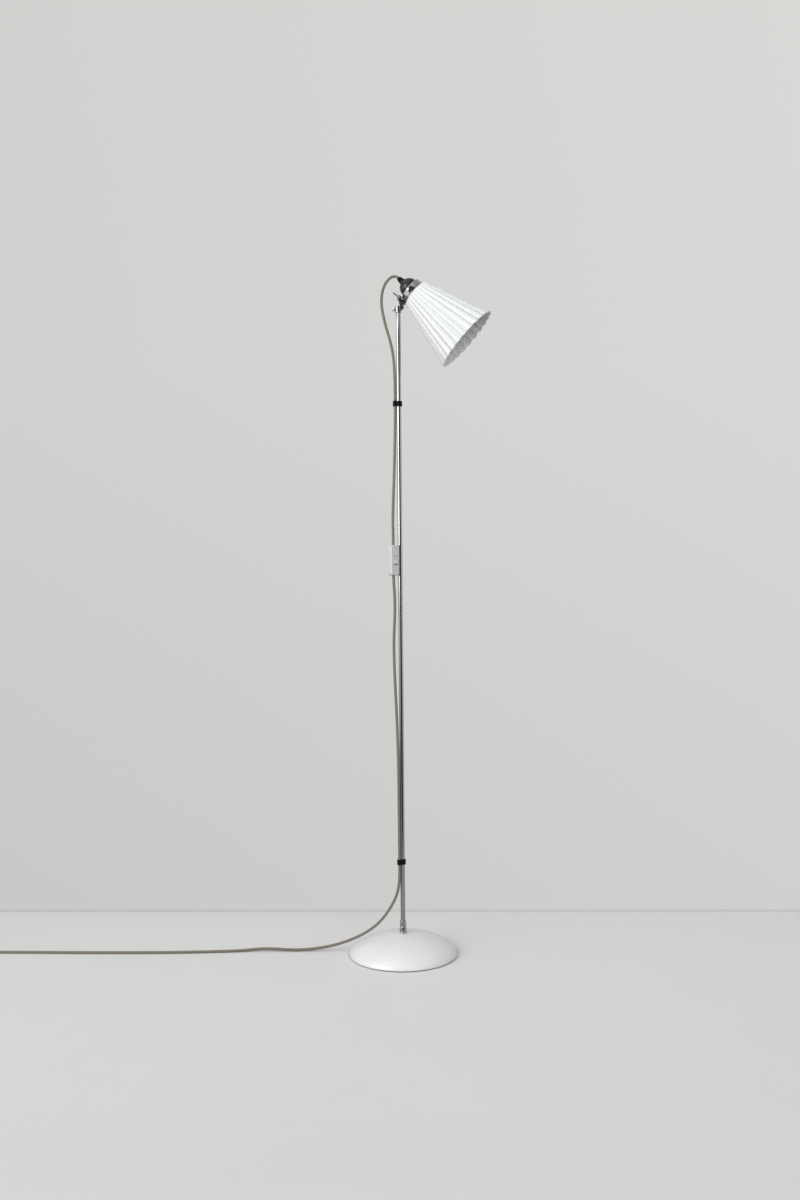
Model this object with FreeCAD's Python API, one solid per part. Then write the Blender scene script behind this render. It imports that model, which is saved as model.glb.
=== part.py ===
import FreeCAD, Part
import math
import os
from FreeCAD import Placement, Rotation, Vector

# Reading floor lamp with a pleated white china shade, a chrome rod and a domed base.
# Origin: on the floor, on the axis of the rod. +Z is up, +X is the side the shade leans to.
# All lengths are in millimetres and all angles in degrees.

# ---- fits -------------------------------------------------------------------------------
slide_clearance = 0.05        # radial gap of a shaft or screw in its hole
seat_clearance = 0.10         # radial gap of a cord or a fixed piece in its hole
free_clearance = 0.50         # gap round a piece that only has to pass through

# ---- base -------------------------------------------------------------------------------
base_radius = 116.0
base_dome_height = 43.5       # of the dome above its rim
base_dome_power = 1.75        # fullness of the dome: 1 is a cone and 2 an ellipse
base_cover_wall = 2.0
dome_steps = 10               # points along the dome's outline
felt_thickness = 2.0
felt_inset = 4.0              # felt edge inside the rim of the cover
weight_inset = 16.0           # iron disc inside the cover wall
weight_height = 20.0
weight_boss_radius = 16.0
weight_chamfer = 3.0
pocket_radius = 11.0          # pocket for the nut, from below
pocket_depth = 12.0

# ---- rod and its fixing ------------------------------------------------------------------
rod_radius = 5.0
rod_wall = 1.2
rod_top_height = 1385.0
stud_length = 60.0
stud_foot_gap = 2.0           # stud end above the felt
fixing_nut_flats = 13.0
fixing_nut_height = 6.5
fixing_washer_radius = 8.5
fixing_washer_thickness = 1.6
socket_foot_radius = 7.8
socket_foot_height = 3.0
socket_waist_radius = 7.2
socket_step_height = 13.0
socket_neck_radius = 6.4
socket_height = 26.0
socket_bead = 0.4             # height and width of the bead round the mouth of the socket
socket_bead_drop = 0.4        # bead below the mouth
grub_radius = 2.0
grub_height = 7.0             # grub screw axis above the foot of the socket
grub_length = 2.0

# ---- swivel knuckle on the rod -------------------------------------------------------------
barrel_radius = 6.2
barrel_grip = 11.0            # length of rod inside the barrel
barrel_cap = 3.0              # metal above the end of the rod
knuckle_width = 9.0
knuckle_eye_radius = 5.0
knuckle_link_radius = 3.3
knee_radius = 4.5
knee_offset = 8.2             # knee centre from the rod axis
knee_rise = 0.5               # knee centre above the rod end
knee_root_drop = 5.0          # where the web meets the barrel, below the rod end
pivot_offset = 2.8            # tilt pivot from the rod axis
pivot_rise = 19.5             # tilt pivot above the rod end
thumb_shank_radius = 2.0
thumb_boss_radius = 4.0
thumb_boss_reach = 0.9        # boss beyond the barrel
thumb_drop = 3.6              # thumb screw axis below the rod end
thumb_head_radius = 4.4
thumb_head_length = 5.6
thumb_head_gap = 0.3
thumb_head_chamfer = 0.8

# ---- tilt joint ----------------------------------------------------------------------------
pivot_bolt_radius = 2.5
pivot_bolt_flats = 8.0
pivot_bolt_head = 3.5
pivot_bolt_tail = 1.3         # bolt end beyond the wing nut
friction_washer_thickness = 0.7
friction_washer_radius = 4.8
plain_washer_thickness = 1.0
plain_washer_radius = 5.0
wing_hub_radius = 4.6
wing_hub_height = 6.0
wing_span = 32.0
wing_thickness = 2.4
wing_root_rise = 1.4          # where a wing leaves the hub, above the washer
wing_tip_low = 4.5            # lower corner of a wing tip above the washer
wing_tip_high = 11.0
wing_angle = 9.0              # wings from the shade axis, towards the collar
wing_hub_top_radius = 4.0

# ---- lamp head, along its own axis (t = 0 in the middle of the chrome collar) ----------------
head_swing = -3.0             # head and knuckle turned on the rod, towards the viewer
head_droop = 42.5             # shade axis below the horizontal
pivot_radius = 31.3           # tilt pivot from the shade axis
pivot_setback = 7.95          # tilt pivot behind the middle of the collar
collar_radius = 25.75
collar_wall = 1.2
collar_top_wall = 1.5
collar_back = 4.5             # start of the band behind the middle
collar_front = 6.7            # end of the band in front of the middle
collar_cone = 2.9             # length of the cone on the back of the band
collar_cone_radius = 20.9
cap_radius = 20.5
cap_wall = 2.4
cap_boss_radius = 7.5
cap_boss_length = 1.6
holder_top_radius = 18.0
holder_flange = 1.5
holder_thread_radius = 19.5
holder_thread_end = 20.0
holder_sleeve_radius = 17.0
holder_length = 33.0
holder_bore_radius = 15.2
holder_top_depth = 4.1        # holder inside the cap
holder_lip = 1.5
holder_lip_radius = 12.5
holder_lip_top = -3.0
screw_shell_radius = 14.2
screw_shell_wall = 0.6
screw_shell_length = 22.0
grip_bore_radius = 5.2        # hole in the cap for the cord grip
grip_spigot = 4.0
grip_flange_radius = 6.6
grip_tip_radius = 4.3
grip_tip = 39.0               # end of the cord grip behind the middle of the collar
bracket_plate = 2.0
bracket_radius = 27.0
ear_thickness = 1.5
ear_end_width = 7.0           # width of an ear where it meets the ring
ear_collar_gap = 0.55         # ear to collar

# ---- shade -----------------------------------------------------------------------------------
pleat_count = 24
shade_wall = 3.0
shade_top_radius = 28.0
shade_top_pleat = 0.8
shade_neck_radius = 33.3
shade_neck_pleat = 1.9
shade_shoulder = 4.3          # length of the shoulder under the ring
shade_rim_radius = 77.0
shade_rim_pleat = 4.6
shade_rim = 160.0             # rim in front of the middle of the collar
shade_nut_radius = 24.4
shade_nut_height = 6.0

# ---- lamp bulb ---------------------------------------------------------------------------------
bulb_cap_radius = 13.1
bulb_cap_length = 22.0
bulb_contact_radius = 4.0
bulb_contact_height = 2.0
bulb_seat = 1.0               # bulb contact in front of the middle of the collar
bulb_length = 105.0
bulb_radius = 30.0
bulb_neck_radius = 14.5
bulb_neck_length = 12.0
bulb_wall = 1.0
bulb_overlap = 3.0            # glass inside the cap
contact_radius = 3.0

# ---- cord and its clips --------------------------------------------------------------------------
cord_radius = 3.0
floor_gap = 0.05              # cord above the floor
cord_low = cord_radius + floor_gap
corner_share = 0.45           # share of a run that rounds each of its corners
clip_height = 11.0
clip_rod_wall = 2.0
clip_cord_wall = 1.95
upper_clip_height = 1179.0
lower_clip_height = 198.0

# ---- inline switch ---------------------------------------------------------------------------------
switch_x = -14.4
switch_y = -9.0
switch_height = 843.4         # middle of the switch above the floor
switch_turn = 37.0            # front of the switch turned from -Y towards +X
switch_width = 22.0
switch_depth = 16.0
switch_length = 64.5
switch_corner = 5.0
switch_edge = 1.6
switch_wall = 1.8
rocker_width = 11.0
rocker_half_length = 8.8
rocker_gap = 0.9              # window round the rocker
rocker_side_gap = 0.3
rocker_end_rise = 1.8         # rocker ends beyond the front of the switch
rocker_middle_rise = 0.6
rocker_pivot_depth = 3.5      # rocker pivot behind the front of the switch
rocker_keel_depth = 6.0
rocker_lean = 6.0
rocker_pin_radius = 1.2
rocker_pin_length = 2.0
rocker_lug_gap = 0.5
rocker_lug_thickness = 2.2
rocker_lug_size = 5.0
switch_screw_radius = 1.25
switch_screw_head_radius = 2.4
switch_screw_head = 1.6
switch_screw_length = 11.0
switch_screw_side = 7.4
switch_screw_reach = 25.0
switch_boss_radius = 2.7
terminal_width = 12.0
terminal_depth = 4.5
terminal_length = 24.0
contact_strip_width = 4.0
contact_strip_length = 7.0
contact_strip_height = 2.3
contact_strip_pitch = 6.0

# ---- put-away coil and plug ----------------------------------------------------------------------------
coil_pitch = 6.6              # between turns side by side and between the two layers
coil_outer_radius = 45.5
coil_lower_half_turns = 6
coil_upper_half_turns = 5
coil_tail = 60.0              # straight cord from the last turn to the plug
plug_length = 38.0
plug_width = 34.0
plug_edge = 4.0
plug_sleeve_radius = 5.2
plug_sleeve_length = 14.0
pin_radius = 2.4
pin_length = 19.0
pin_pitch = 19.0

# Cord routes, as points on the middle of the cord, (x, y, z). The first one is in the frame of
# the knuckle, before it is turned on the rod, and the second goes on from it.
loop_head_route = [
    (1.06, 0.0, 1448.56),
    (-2.63, 0.0, 1451.94),
    (-8.6, 0.0, 1453.0),
    (-16.0, 0.0, 1450.2),
    (-23.2, 0.0, 1443.6),
    (-29.3, 0.0, 1433.4),
    (-33.7, 0.0, 1420.5),
    (-35.9, 0.0, 1406.0),
    (-35.6, -0.1, 1390.0),
    (-33.1, -0.3, 1373.5),
    (-30.35, -0.45, 1361.0),
]
loop_rod_route = [
    (-22.4, 0.5, 1330.0),
    (-16.9, 0.0, 1311.0),
    (-12.6, -0.7, 1290.0),
    (-9.9, -1.2, 1267.0),
    (-8.6, -1.5, 1240.0),
    (-8.16, -1.55, 1209.0),
    (-8.16, -1.55, 1184.5),
]
rod_upper_route = [
    (-8.16, -1.55, 1184.5),
    (-8.16, -1.55, 1140.0),
    (-9.6, -2.6, 1088.0),
    (-11.3, -4.4, 1030.0),
    (-13.6, -6.6, 976.0),
    (-15.2, -8.3, 928.0),
    (-14.4, -9.0, 898.0),
    (-14.4, -9.0, 868.0),
]
rod_lower_route = [
    (-14.4, -9.0, 818.8),
    (-14.4, -9.0, 795.0),
    (-11.9, -8.4, 766.0),
    (-12.3, -8.2, 722.0),
    (-15.0, -8.0, 678.0),
    (-14.6, -7.7, 628.0),
    (-12.6, -7.3, 572.0),
    (-10.0, -6.9, 510.0),
    (-8.0, -6.2, 446.0),
    (-7.0, -5.6, 382.0),
    (-6.9, -5.1, 318.0),
    (-6.6, -5.05, 256.0),
    (-6.6, -5.05, 192.5),
]
floor_route = [
    (-6.6, -5.05, 192.5),
    (-6.6, -5.05, 168.0),
    (-8.6, -4.6, 143.0),
    (-15.4, -3.4, 121.0),
    (-26.6, -1.4, 99.5),
    (-42.0, 1.6, 77.0),
    (-62.5, 5.6, 55.8),
    (-89.0, 10.6, 38.2),
    (-118.0, 14.8, 24.6),
    (-149.0, 17.8, 14.4),
    (-181.0, 19.8, 7.8),
    (-214.0, 20.9, 4.2),
    (-248.0, 21.6, 3.9),
    (-282.0, 22.3, 6.6),
    (-312.0, 22.4, 6.4),
    (-344.0, 20.6, 3.8),
    (-380.0, 18.4, cord_low),
    (-432.0, 15.4, cord_low),
    (-494.0, 13.6, cord_low),
    (-562.0, 13.8, cord_low),
    (-634.0, 15.4, cord_low),
    (-706.0, 17.6, cord_low),
    (-778.0, 21.0, cord_low),
    (-850.0, 23.4, cord_low),
    (-906.0, 24.4, cord_low),
    (-950.0, 24.4, cord_low),
]

# ---- derived places ----------------------------------------------------------------------------------
rim_height = felt_thickness
dome_top = rim_height + base_dome_height
rod_bore_radius = rod_radius - rod_wall
rod_hole_radius = rod_radius + slide_clearance
pocket_ceiling = felt_thickness + pocket_depth
pivot = Vector(pivot_offset, 0, rod_top_height + pivot_rise)
swing = Placement(Vector(0, 0, 0), Rotation(Vector(0, 0, 1), head_swing))
loop_at_head = [swing.multVec(Vector(*point)) for point in loop_head_route]
loop_meeting = loop_at_head[-1]
loop_onward = loop_meeting * 2 - loop_at_head[-2]
loop_at_rod = [loop_meeting, loop_onward] + [Vector(*point) for point in loop_rod_route]
head_turn = 90 + head_droop
ear_inside = knuckle_width / 2 + friction_washer_thickness + slide_clearance
ear_outside = ear_inside + ear_thickness
nut_seat = ear_outside + plain_washer_thickness
cap_seat = -(collar_back + collar_cone)
holder_flange_top = cap_seat + collar_top_wall
holder_flange_radius = collar_cone_radius - seat_clearance
ring_top = collar_front
ring_bottom = ring_top + bracket_plate
shade_neck = ring_bottom + shade_shoulder
cap_boss_start = cap_seat - math.sqrt(cap_radius ** 2 - cap_boss_radius ** 2)
grip_seat = cap_boss_start - cap_boss_length
switch_front = switch_depth / 2
rocker_pivot = switch_front - rocker_pivot_depth


# ---- shape helpers --------------------------------------------------------------------------------------
def cylinder(radius, low, high, x=0.0, y=0.0):
    return Part.makeCylinder(radius, high - low, Vector(x, y, low))


def cross_cylinder(radius, start, end):
    """Cylinder from one point to another."""
    direction = end.sub(start)
    return Part.makeCylinder(radius, direction.Length, start, direction)


def ring(outer, inner, low, high):
    return cylinder(outer, low, high).cut(cylinder(inner, low, high))


def block(low, high):
    """Box between two opposite corners."""
    size = Vector(*high).sub(Vector(*low))
    return Part.makeBox(size.x, size.y, size.z, Vector(*low))


def turned(profile):
    """Solid of revolution about Z of a closed list of (radius, height) points."""
    points = [Vector(radius, 0, height) for radius, height in profile]
    face = Part.Face(Part.makePolygon(points + points[:1]))
    return face.revolve(Vector(0, 0, 0), Vector(0, 0, 1), 360)


def turned_edges(edges):
    face = Part.Face(Part.Wire(edges))
    return face.revolve(Vector(0, 0, 0), Vector(0, 0, 1), 360)


def line(start, end):
    return Part.LineSegment(start, end).toShape()


def plate(points, low, high):
    """Flat plate in the XZ plane, between two values of y."""
    corners = [Vector(x, low, z) for x, z in points]
    face = Part.Face(Part.makePolygon(corners + corners[:1]))
    return face.extrude(Vector(0, high - low, 0))


def disc(radius, x, z, low, high):
    """Disc square to Y."""
    return Part.makeCylinder(radius, high - low, Vector(x, low, z), Vector(0, 1, 0))


def bar(first, second, low, high):
    """Bar with round ends in the XZ plane: each end is (x, z, radius)."""
    x1, z1, r1 = first
    x2, z2, r2 = second
    heading = math.atan2(z2 - z1, x2 - x1)
    spread = math.acos((r1 - r2) / math.hypot(x2 - x1, z2 - z1))
    left = heading + spread
    right = heading - spread
    web = plate([(x1 + r1 * math.cos(left), z1 + r1 * math.sin(left)),
                 (x2 + r2 * math.cos(left), z2 + r2 * math.sin(left)),
                 (x2 + r2 * math.cos(right), z2 + r2 * math.sin(right)),
                 (x1 + r1 * math.cos(right), z1 + r1 * math.sin(right))], low, high)
    return web.fuse([disc(r1, x1, z1, low, high), disc(r2, x2, z2, low, high)])


def hexagon(flats, low, high):
    """Hexagonal prism along Z."""
    reach = flats / math.sqrt(3)
    corners = [Vector(reach * math.cos(math.radians(60 * side)),
                      reach * math.sin(math.radians(60 * side)), low) for side in range(7)]
    return Part.Face(Part.makePolygon(corners)).extrude(Vector(0, 0, high - low))


def dome(radius, height):
    """Rounded dome standing on the rim height."""
    power = 2 / base_dome_power
    points = []
    for step in range(dome_steps + 1):
        angle = math.pi / 2 * step / dome_steps
        points.append(Vector(radius * abs(math.cos(angle)) ** power, 0,
                             rim_height + height * math.sin(angle) ** power))
    points[-1] = Vector(0, 0, rim_height + height)
    curve = Part.BSplineCurve()
    curve.interpolate(points, InitialTangent=Vector(0, 0, 1), FinalTangent=Vector(-1, 0, 0))
    centre = Vector(0, 0, rim_height)
    return turned_edges([line(centre, points[0]), curve.toShape(), line(points[-1], centre)])


# ---- base ------------------------------------------------------------------------------------------------
def base_cover():
    inner = dome(base_radius - base_cover_wall, base_dome_height - base_cover_wall)
    shell = dome(base_radius, base_dome_height).cut(inner)
    return shell.cut(cylinder(rod_hole_radius, rim_height, dome_top))


def base_weight():
    low = felt_thickness
    radius = base_radius - base_cover_wall - weight_inset
    high = low + weight_height
    iron = turned([(0, low), (radius, low), (radius, high - weight_chamfer),
                   (radius - weight_chamfer, high), (0, high)])
    iron = iron.fuse(cylinder(weight_boss_radius, low, dome_top))
    room = base_cover_wall + free_clearance
    iron = iron.common(dome(base_radius - room, base_dome_height - room))
    iron = iron.cut(cylinder(rod_hole_radius, low, dome_top))
    return iron.cut(cylinder(pocket_radius, low, pocket_ceiling))


def base_felt():
    return cylinder(base_radius - felt_inset, 0, felt_thickness)


def rod_socket():
    low = dome_top
    step = low + socket_step_height
    high = low + socket_height
    bead_low = high - socket_bead_drop - 2 * socket_bead
    body = turned([(rod_hole_radius, low),
                   (socket_foot_radius, low),
                   (socket_foot_radius, low + socket_foot_height),
                   (socket_waist_radius, step),
                   (socket_neck_radius, step + socket_bead),
                   (socket_neck_radius, bead_low - socket_bead),
                   (socket_neck_radius + socket_bead, bead_low),
                   (socket_neck_radius + socket_bead, high - socket_bead_drop),
                   (socket_neck_radius, high),
                   (rod_hole_radius, high)])
    axis_height = low + grub_height
    return body.cut(cross_cylinder(grub_radius + slide_clearance,
                                   Vector(0, 0, axis_height),
                                   Vector(socket_foot_radius, 0, axis_height)))


def socket_grub_screw():
    axis_height = dome_top + grub_height
    return cross_cylinder(grub_radius,
                          Vector(rod_hole_radius, 0, axis_height),
                          Vector(rod_hole_radius + grub_length, 0, axis_height))


def rod():
    return ring(rod_radius, rod_bore_radius, pocket_ceiling + free_clearance, rod_top_height)


def rod_stud():
    low = felt_thickness + stud_foot_gap
    return cylinder(rod_bore_radius - slide_clearance, low, low + stud_length)


def rod_fixing_washer():
    return ring(fixing_washer_radius, rod_bore_radius + slide_clearance,
                pocket_ceiling - fixing_washer_thickness, pocket_ceiling)


def rod_fixing_nut():
    high = pocket_ceiling - fixing_washer_thickness
    low = high - fixing_nut_height
    return hexagon(fixing_nut_flats, low, high).cut(cylinder(rod_bore_radius, low, high))


# ---- swivel knuckle ------------------------------------------------------------------------------------------
def thumb_axis(x):
    return Vector(-x, 0, rod_top_height - thumb_drop)


def swivel_knuckle():
    half = knuckle_width / 2
    eye = (pivot.x, pivot.z, knuckle_eye_radius)
    knee = (knee_offset, rod_top_height + knee_rise, knee_radius)
    root = (0.0, rod_top_height - knee_root_drop, knee_radius)
    barrel = cylinder(barrel_radius, rod_top_height - barrel_grip, rod_top_height + barrel_cap)
    boss = cross_cylinder(thumb_boss_radius, thumb_axis(0),
                          thumb_axis(barrel_radius + thumb_boss_reach))
    body = barrel.fuse([bar((pivot.x, pivot.z, knuckle_link_radius), knee, -half, half),
                        bar(knee, root, -half, half), disc(eye[2], eye[0], eye[1], -half, half),
                        boss]).removeSplitter()
    body = body.cut(cylinder(rod_hole_radius, rod_top_height - barrel_grip - free_clearance,
                             rod_top_height + slide_clearance))
    body = body.cut(cross_cylinder(thumb_shank_radius + slide_clearance, thumb_axis(0),
                                   thumb_axis(barrel_radius + 2 * thumb_boss_reach)))
    return body.cut(disc(pivot_bolt_radius + slide_clearance, pivot.x, pivot.z, -half, half))


def thumb_screw():
    tip = rod_radius + 2 * slide_clearance
    head_start = barrel_radius + thumb_boss_reach + thumb_head_gap
    head_end = head_start + thumb_head_length
    shank = cross_cylinder(thumb_shank_radius, thumb_axis(tip), thumb_axis(head_start))
    core = cross_cylinder(thumb_head_radius, thumb_axis(head_start), thumb_axis(head_end))
    edges = [edge for edge in core.Edges if isinstance(edge.Curve, Part.Circle)]
    return core.makeChamfer(thumb_head_chamfer, edges).fuse(shank).removeSplitter()


# ---- tilt joint, in the frame of the lamp head: x away from the shade axis, z along it -------------------------
head_place = swing.multiply(Placement(pivot, Rotation(Vector(0, 1, 0), head_turn))).multiply(
    Placement(Vector(-pivot_radius, 0, pivot_setback), Rotation()))


def head_bracket():
    plate_hole = cylinder(holder_thread_radius + seat_clearance, ring_top, ring_bottom)
    body = cylinder(bracket_radius, ring_top, ring_bottom)
    ear_edge = collar_radius + ear_collar_gap
    tab_start = holder_thread_radius + bracket_plate
    tab = block((tab_start, -ear_outside, ring_top), (pivot_radius, ear_outside, ring_bottom))
    ear_outline = [(ear_edge, ring_bottom), (ear_edge + ear_end_width, ring_bottom),
                   (pivot_radius + knuckle_eye_radius, -pivot_setback),
                   (ear_edge, -pivot_setback)]
    pieces = [tab]
    for low, high in ((-ear_outside, -ear_inside), (ear_inside, ear_outside)):
        pieces.append(plate(ear_outline, low, high))
        pieces.append(disc(knuckle_eye_radius, pivot_radius, -pivot_setback, low, high))
    body = body.fuse(pieces).removeSplitter().cut(plate_hole)
    return body.cut(disc(pivot_bolt_radius + slide_clearance, pivot_radius, -pivot_setback,
                         -ear_outside, ear_outside))


def pivot_ring(outer, low, high):
    """Washer round the pivot bolt, between two values of y."""
    body = disc(outer, pivot_radius, -pivot_setback, low, high)
    return body.cut(disc(pivot_bolt_radius + slide_clearance, pivot_radius, -pivot_setback,
                         low, high))


def friction_washers():
    thickness = friction_washer_thickness
    near = pivot_ring(friction_washer_radius, -ear_inside, -ear_inside + thickness)
    far = pivot_ring(friction_washer_radius, ear_inside - thickness, ear_inside)
    return Part.makeCompound([near, far])


def wing_nut_washer():
    return pivot_ring(plain_washer_radius, -nut_seat, -ear_outside)


def pivot_bolt():
    end = nut_seat + wing_hub_height + pivot_bolt_tail
    shank = disc(pivot_bolt_radius, pivot_radius, -pivot_setback, -end, ear_outside)
    head = hexagon(pivot_bolt_flats, 0, pivot_bolt_head)
    head.Placement = Placement(Vector(pivot_radius, ear_outside, -pivot_setback),
                               Rotation(Vector(1, 0, 0), -90))
    return shank.fuse(head)


def wing_nut():
    """Modelled on the Z axis with its wings along X, then turned onto the bolt."""
    hub = turned([(pivot_bolt_radius + slide_clearance, 0), (wing_hub_radius, 0),
                  (wing_hub_top_radius, wing_hub_height),
                  (pivot_bolt_radius + slide_clearance, wing_hub_height)])
    inside = (pivot_bolt_radius + wing_hub_radius) / 2
    half = wing_span / 2
    half_tip = wing_thickness / 2
    outline = [(inside, wing_root_rise), (inside, wing_hub_height - wing_root_rise),
               (half - wing_tip_low, wing_tip_high), (half - half_tip, wing_tip_high),
               (half, wing_tip_high - wing_thickness), (half, wing_tip_low + half_tip),
               (half - half_tip, wing_tip_low)]
    wings = []
    for side in (1, -1):
        wings.append(plate([(side * x, z) for x, z in outline], -half_tip, half_tip))
    body = hub.fuse(wings).removeSplitter()
    body.Placement = Placement(Vector(pivot_radius, -nut_seat, -pivot_setback),
                               Rotation(Vector(1, 0, 0), 90)).multiply(
        Placement(Vector(0, 0, 0), Rotation(Vector(0, 0, 1), 90 + wing_angle)))
    return body


# ---- lampholder and collar, in the frame of the lamp head ---------------------------------------------------------
def shade_collar():
    hole = holder_top_radius + seat_clearance
    inner = collar_radius - collar_wall
    return turned([(hole, cap_seat), (collar_cone_radius, cap_seat),
                   (collar_radius, -collar_back), (collar_radius, ring_top),
                   (inner, ring_top), (inner, -collar_back + collar_wall),
                   (collar_cone_radius, holder_flange_top), (hole, holder_flange_top)])


def lampholder_cap():
    boss_top = grip_seat
    outside = cap_radius
    inside = holder_top_radius + seat_clearance
    depth = holder_top_depth + free_clearance
    half_angle = math.acos(cap_boss_radius / cap_radius) / 2
    arc = Part.Arc(Vector(outside, 0, cap_seat),
                   Vector(cap_radius * math.cos(half_angle), 0,
                          cap_seat - cap_radius * math.sin(half_angle)),
                   Vector(cap_boss_radius, 0, cap_boss_start)).toShape()
    corners = [(cap_boss_radius, cap_boss_start), (cap_boss_radius, boss_top),
               (grip_bore_radius, boss_top), (grip_bore_radius, cap_boss_start + cap_wall),
               (inside - 2 * cap_wall, cap_seat - depth - 2 * cap_wall),
               (inside, cap_seat - depth), (inside, cap_seat), (outside, cap_seat)]
    points = [Vector(radius, 0, height) for radius, height in corners]
    edges = [line(start, end) for start, end in zip(points, points[1:])]
    return turned_edges([arc] + edges)


def lampholder_body():
    top = cap_seat - holder_top_depth
    flange_end = holder_flange_top + holder_flange
    lip_end = holder_lip_top + holder_lip
    return turned([(holder_bore_radius, top), (holder_top_radius, top),
                   (holder_top_radius, holder_flange_top),
                   (holder_flange_radius, holder_flange_top),
                   (holder_flange_radius, flange_end), (holder_thread_radius, flange_end),
                   (holder_thread_radius, holder_thread_end),
                   (holder_sleeve_radius, holder_thread_end),
                   (holder_sleeve_radius, holder_length), (holder_bore_radius, holder_length),
                   (holder_bore_radius, lip_end), (holder_lip_radius, lip_end),
                   (holder_lip_radius, holder_lip_top), (holder_bore_radius, holder_lip_top)])


def terminal_disc():
    top = cap_seat - holder_top_depth
    body = cylinder(holder_bore_radius - seat_clearance, top, holder_lip_top)
    return body.cut(cylinder(contact_radius, top, holder_lip_top))


def centre_contact():
    """Sprung brass contact that the bulb rests on."""
    top = cap_seat - holder_top_depth
    stem = cylinder(contact_radius - seat_clearance, top, holder_lip_top)
    head = cylinder(contact_radius + holder_lip, holder_lip_top, bulb_seat)
    return stem.fuse(head).removeSplitter()


def screw_shell():
    low = holder_lip_top + holder_lip
    return ring(screw_shell_radius, screw_shell_radius - screw_shell_wall, low,
                low + screw_shell_length)


def cord_grip():
    hole = cord_radius + seat_clearance
    spigot = grip_bore_radius - seat_clearance
    shoulder = grip_seat - grip_spigot / 2
    return turned([(hole, grip_seat + grip_spigot), (spigot, grip_seat + grip_spigot),
                   (spigot, grip_seat), (grip_flange_radius, grip_seat),
                   (grip_flange_radius, shoulder), (grip_tip_radius, -grip_tip),
                   (hole, -grip_tip)])


def shade_nut():
    """Ring nut inside the shade that clamps it against the bracket and the collar."""
    low = ring_bottom + shade_wall
    return ring(shade_nut_radius, holder_thread_radius + seat_clearance, low,
                low + shade_nut_height)


# ---- shade, in the frame of the lamp head -------------------------------------------------------------------------
def pleated_wire(radius, pleat, height):
    """Ring of convex lobes that meet in valleys, one pleat deep."""
    step = 2 * math.pi / pleat_count
    edges = []
    for index in range(pleat_count):
        corners = []
        for share, reach in ((0.0, radius - pleat), (0.5, radius), (1.0, radius - pleat)):
            angle = step * (index + share)
            corners.append(Vector(reach * math.cos(angle), reach * math.sin(angle), height))
        edges.append(Part.Arc(*corners).toShape())
    return Part.Wire(edges)


def pleated_body(sections):
    """Ruled body through (radius, pleat, height) sections."""
    return Part.makeLoft([pleated_wire(*section) for section in sections], True, True)


def shade():
    slope = (shade_rim_radius - shade_neck_radius) / (shade_rim - shade_neck)
    pleat_slope = (shade_rim_pleat - shade_neck_pleat) / (shade_rim - shade_neck)
    outer = pleated_body([(shade_top_radius, shade_top_pleat, ring_bottom),
                          (shade_neck_radius, shade_neck_pleat, shade_neck),
                          (shade_rim_radius, shade_rim_pleat, shade_rim)])
    beyond = shade_wall
    inner = pleated_body([(shade_top_radius - shade_wall / 2, shade_top_pleat,
                           ring_bottom + shade_wall),
                          (shade_neck_radius - shade_wall, shade_neck_pleat,
                           shade_neck + shade_wall),
                          (shade_rim_radius - shade_wall + slope * beyond,
                           shade_rim_pleat + pleat_slope * beyond, shade_rim + beyond)])
    hole = cylinder(holder_thread_radius + free_clearance, ring_bottom - beyond,
                    ring_bottom + 2 * shade_wall)
    return outer.cut(inner).cut(hole)


# ---- bulb, in the frame of the lamp head ----------------------------------------------------------------------------
def bulb_outline(inset):
    """Half outline of the glass, this far inside its surface, as edges about the axis."""
    cap_end = bulb_seat + bulb_contact_height + bulb_cap_length
    start = cap_end - bulb_overlap
    neck = bulb_neck_radius - inset
    throat = bulb_cap_radius - bulb_wall - inset
    neck_end = cap_end + bulb_neck_length
    radius = bulb_radius - inset
    middle = bulb_seat + bulb_length - bulb_radius
    rise = middle - neck_end
    reach = math.hypot(neck, rise)
    angle = math.atan2(neck, rise) + math.acos(radius / reach)
    touch = Vector(radius * math.sin(angle), 0, middle - radius * math.cos(angle))
    side = Vector(radius, 0, middle)
    end = Vector(0, 0, middle + radius)
    foot = Vector(0, 0, start)
    corners = [foot, Vector(throat, 0, start), Vector(throat, 0, cap_end),
               Vector(neck, 0, neck_end), touch]
    edges = [line(first, second) for first, second in zip(corners, corners[1:])]
    edges.append(Part.Arc(touch, side, end).toShape())
    edges.append(line(end, foot))
    return edges


def bulb_glass():
    return turned_edges(bulb_outline(0)).cut(turned_edges(bulb_outline(bulb_wall)))


def bulb_cap():
    low = bulb_seat + bulb_contact_height
    high = low + bulb_cap_length
    base = low + bulb_contact_height
    shell = ring(bulb_cap_radius, bulb_cap_radius - bulb_wall, base, high)
    floor = cylinder(bulb_cap_radius, low, base)
    return shell.fuse([floor, cylinder(bulb_contact_radius, bulb_seat, low)]).removeSplitter()


# ---- inline switch, in its own frame: front to -y, length along z, then turned into place ------------------------------
switch_place = Placement(Vector(switch_x, switch_y, switch_height),
                         Rotation(Vector(0, 0, 1), switch_turn))


def switch_solid():
    half_width = switch_width / 2
    half_length = switch_length / 2
    body = block((-half_width, -switch_front, -half_length),
                 (half_width, switch_front, half_length))
    corners = []
    for edge in body.Edges:
        middle = edge.CenterOfMass
        if abs(middle.y) < 1e-6 and abs(middle.x) > 1e-6 and abs(middle.z) > 1e-6:
            corners.append(edge)
    body = body.makeFillet(switch_corner, corners)
    rims = [edge for edge in body.Edges if abs(abs(edge.CenterOfMass.y) - switch_front) < 1e-6]
    return body.makeFillet(switch_edge, rims)


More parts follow.
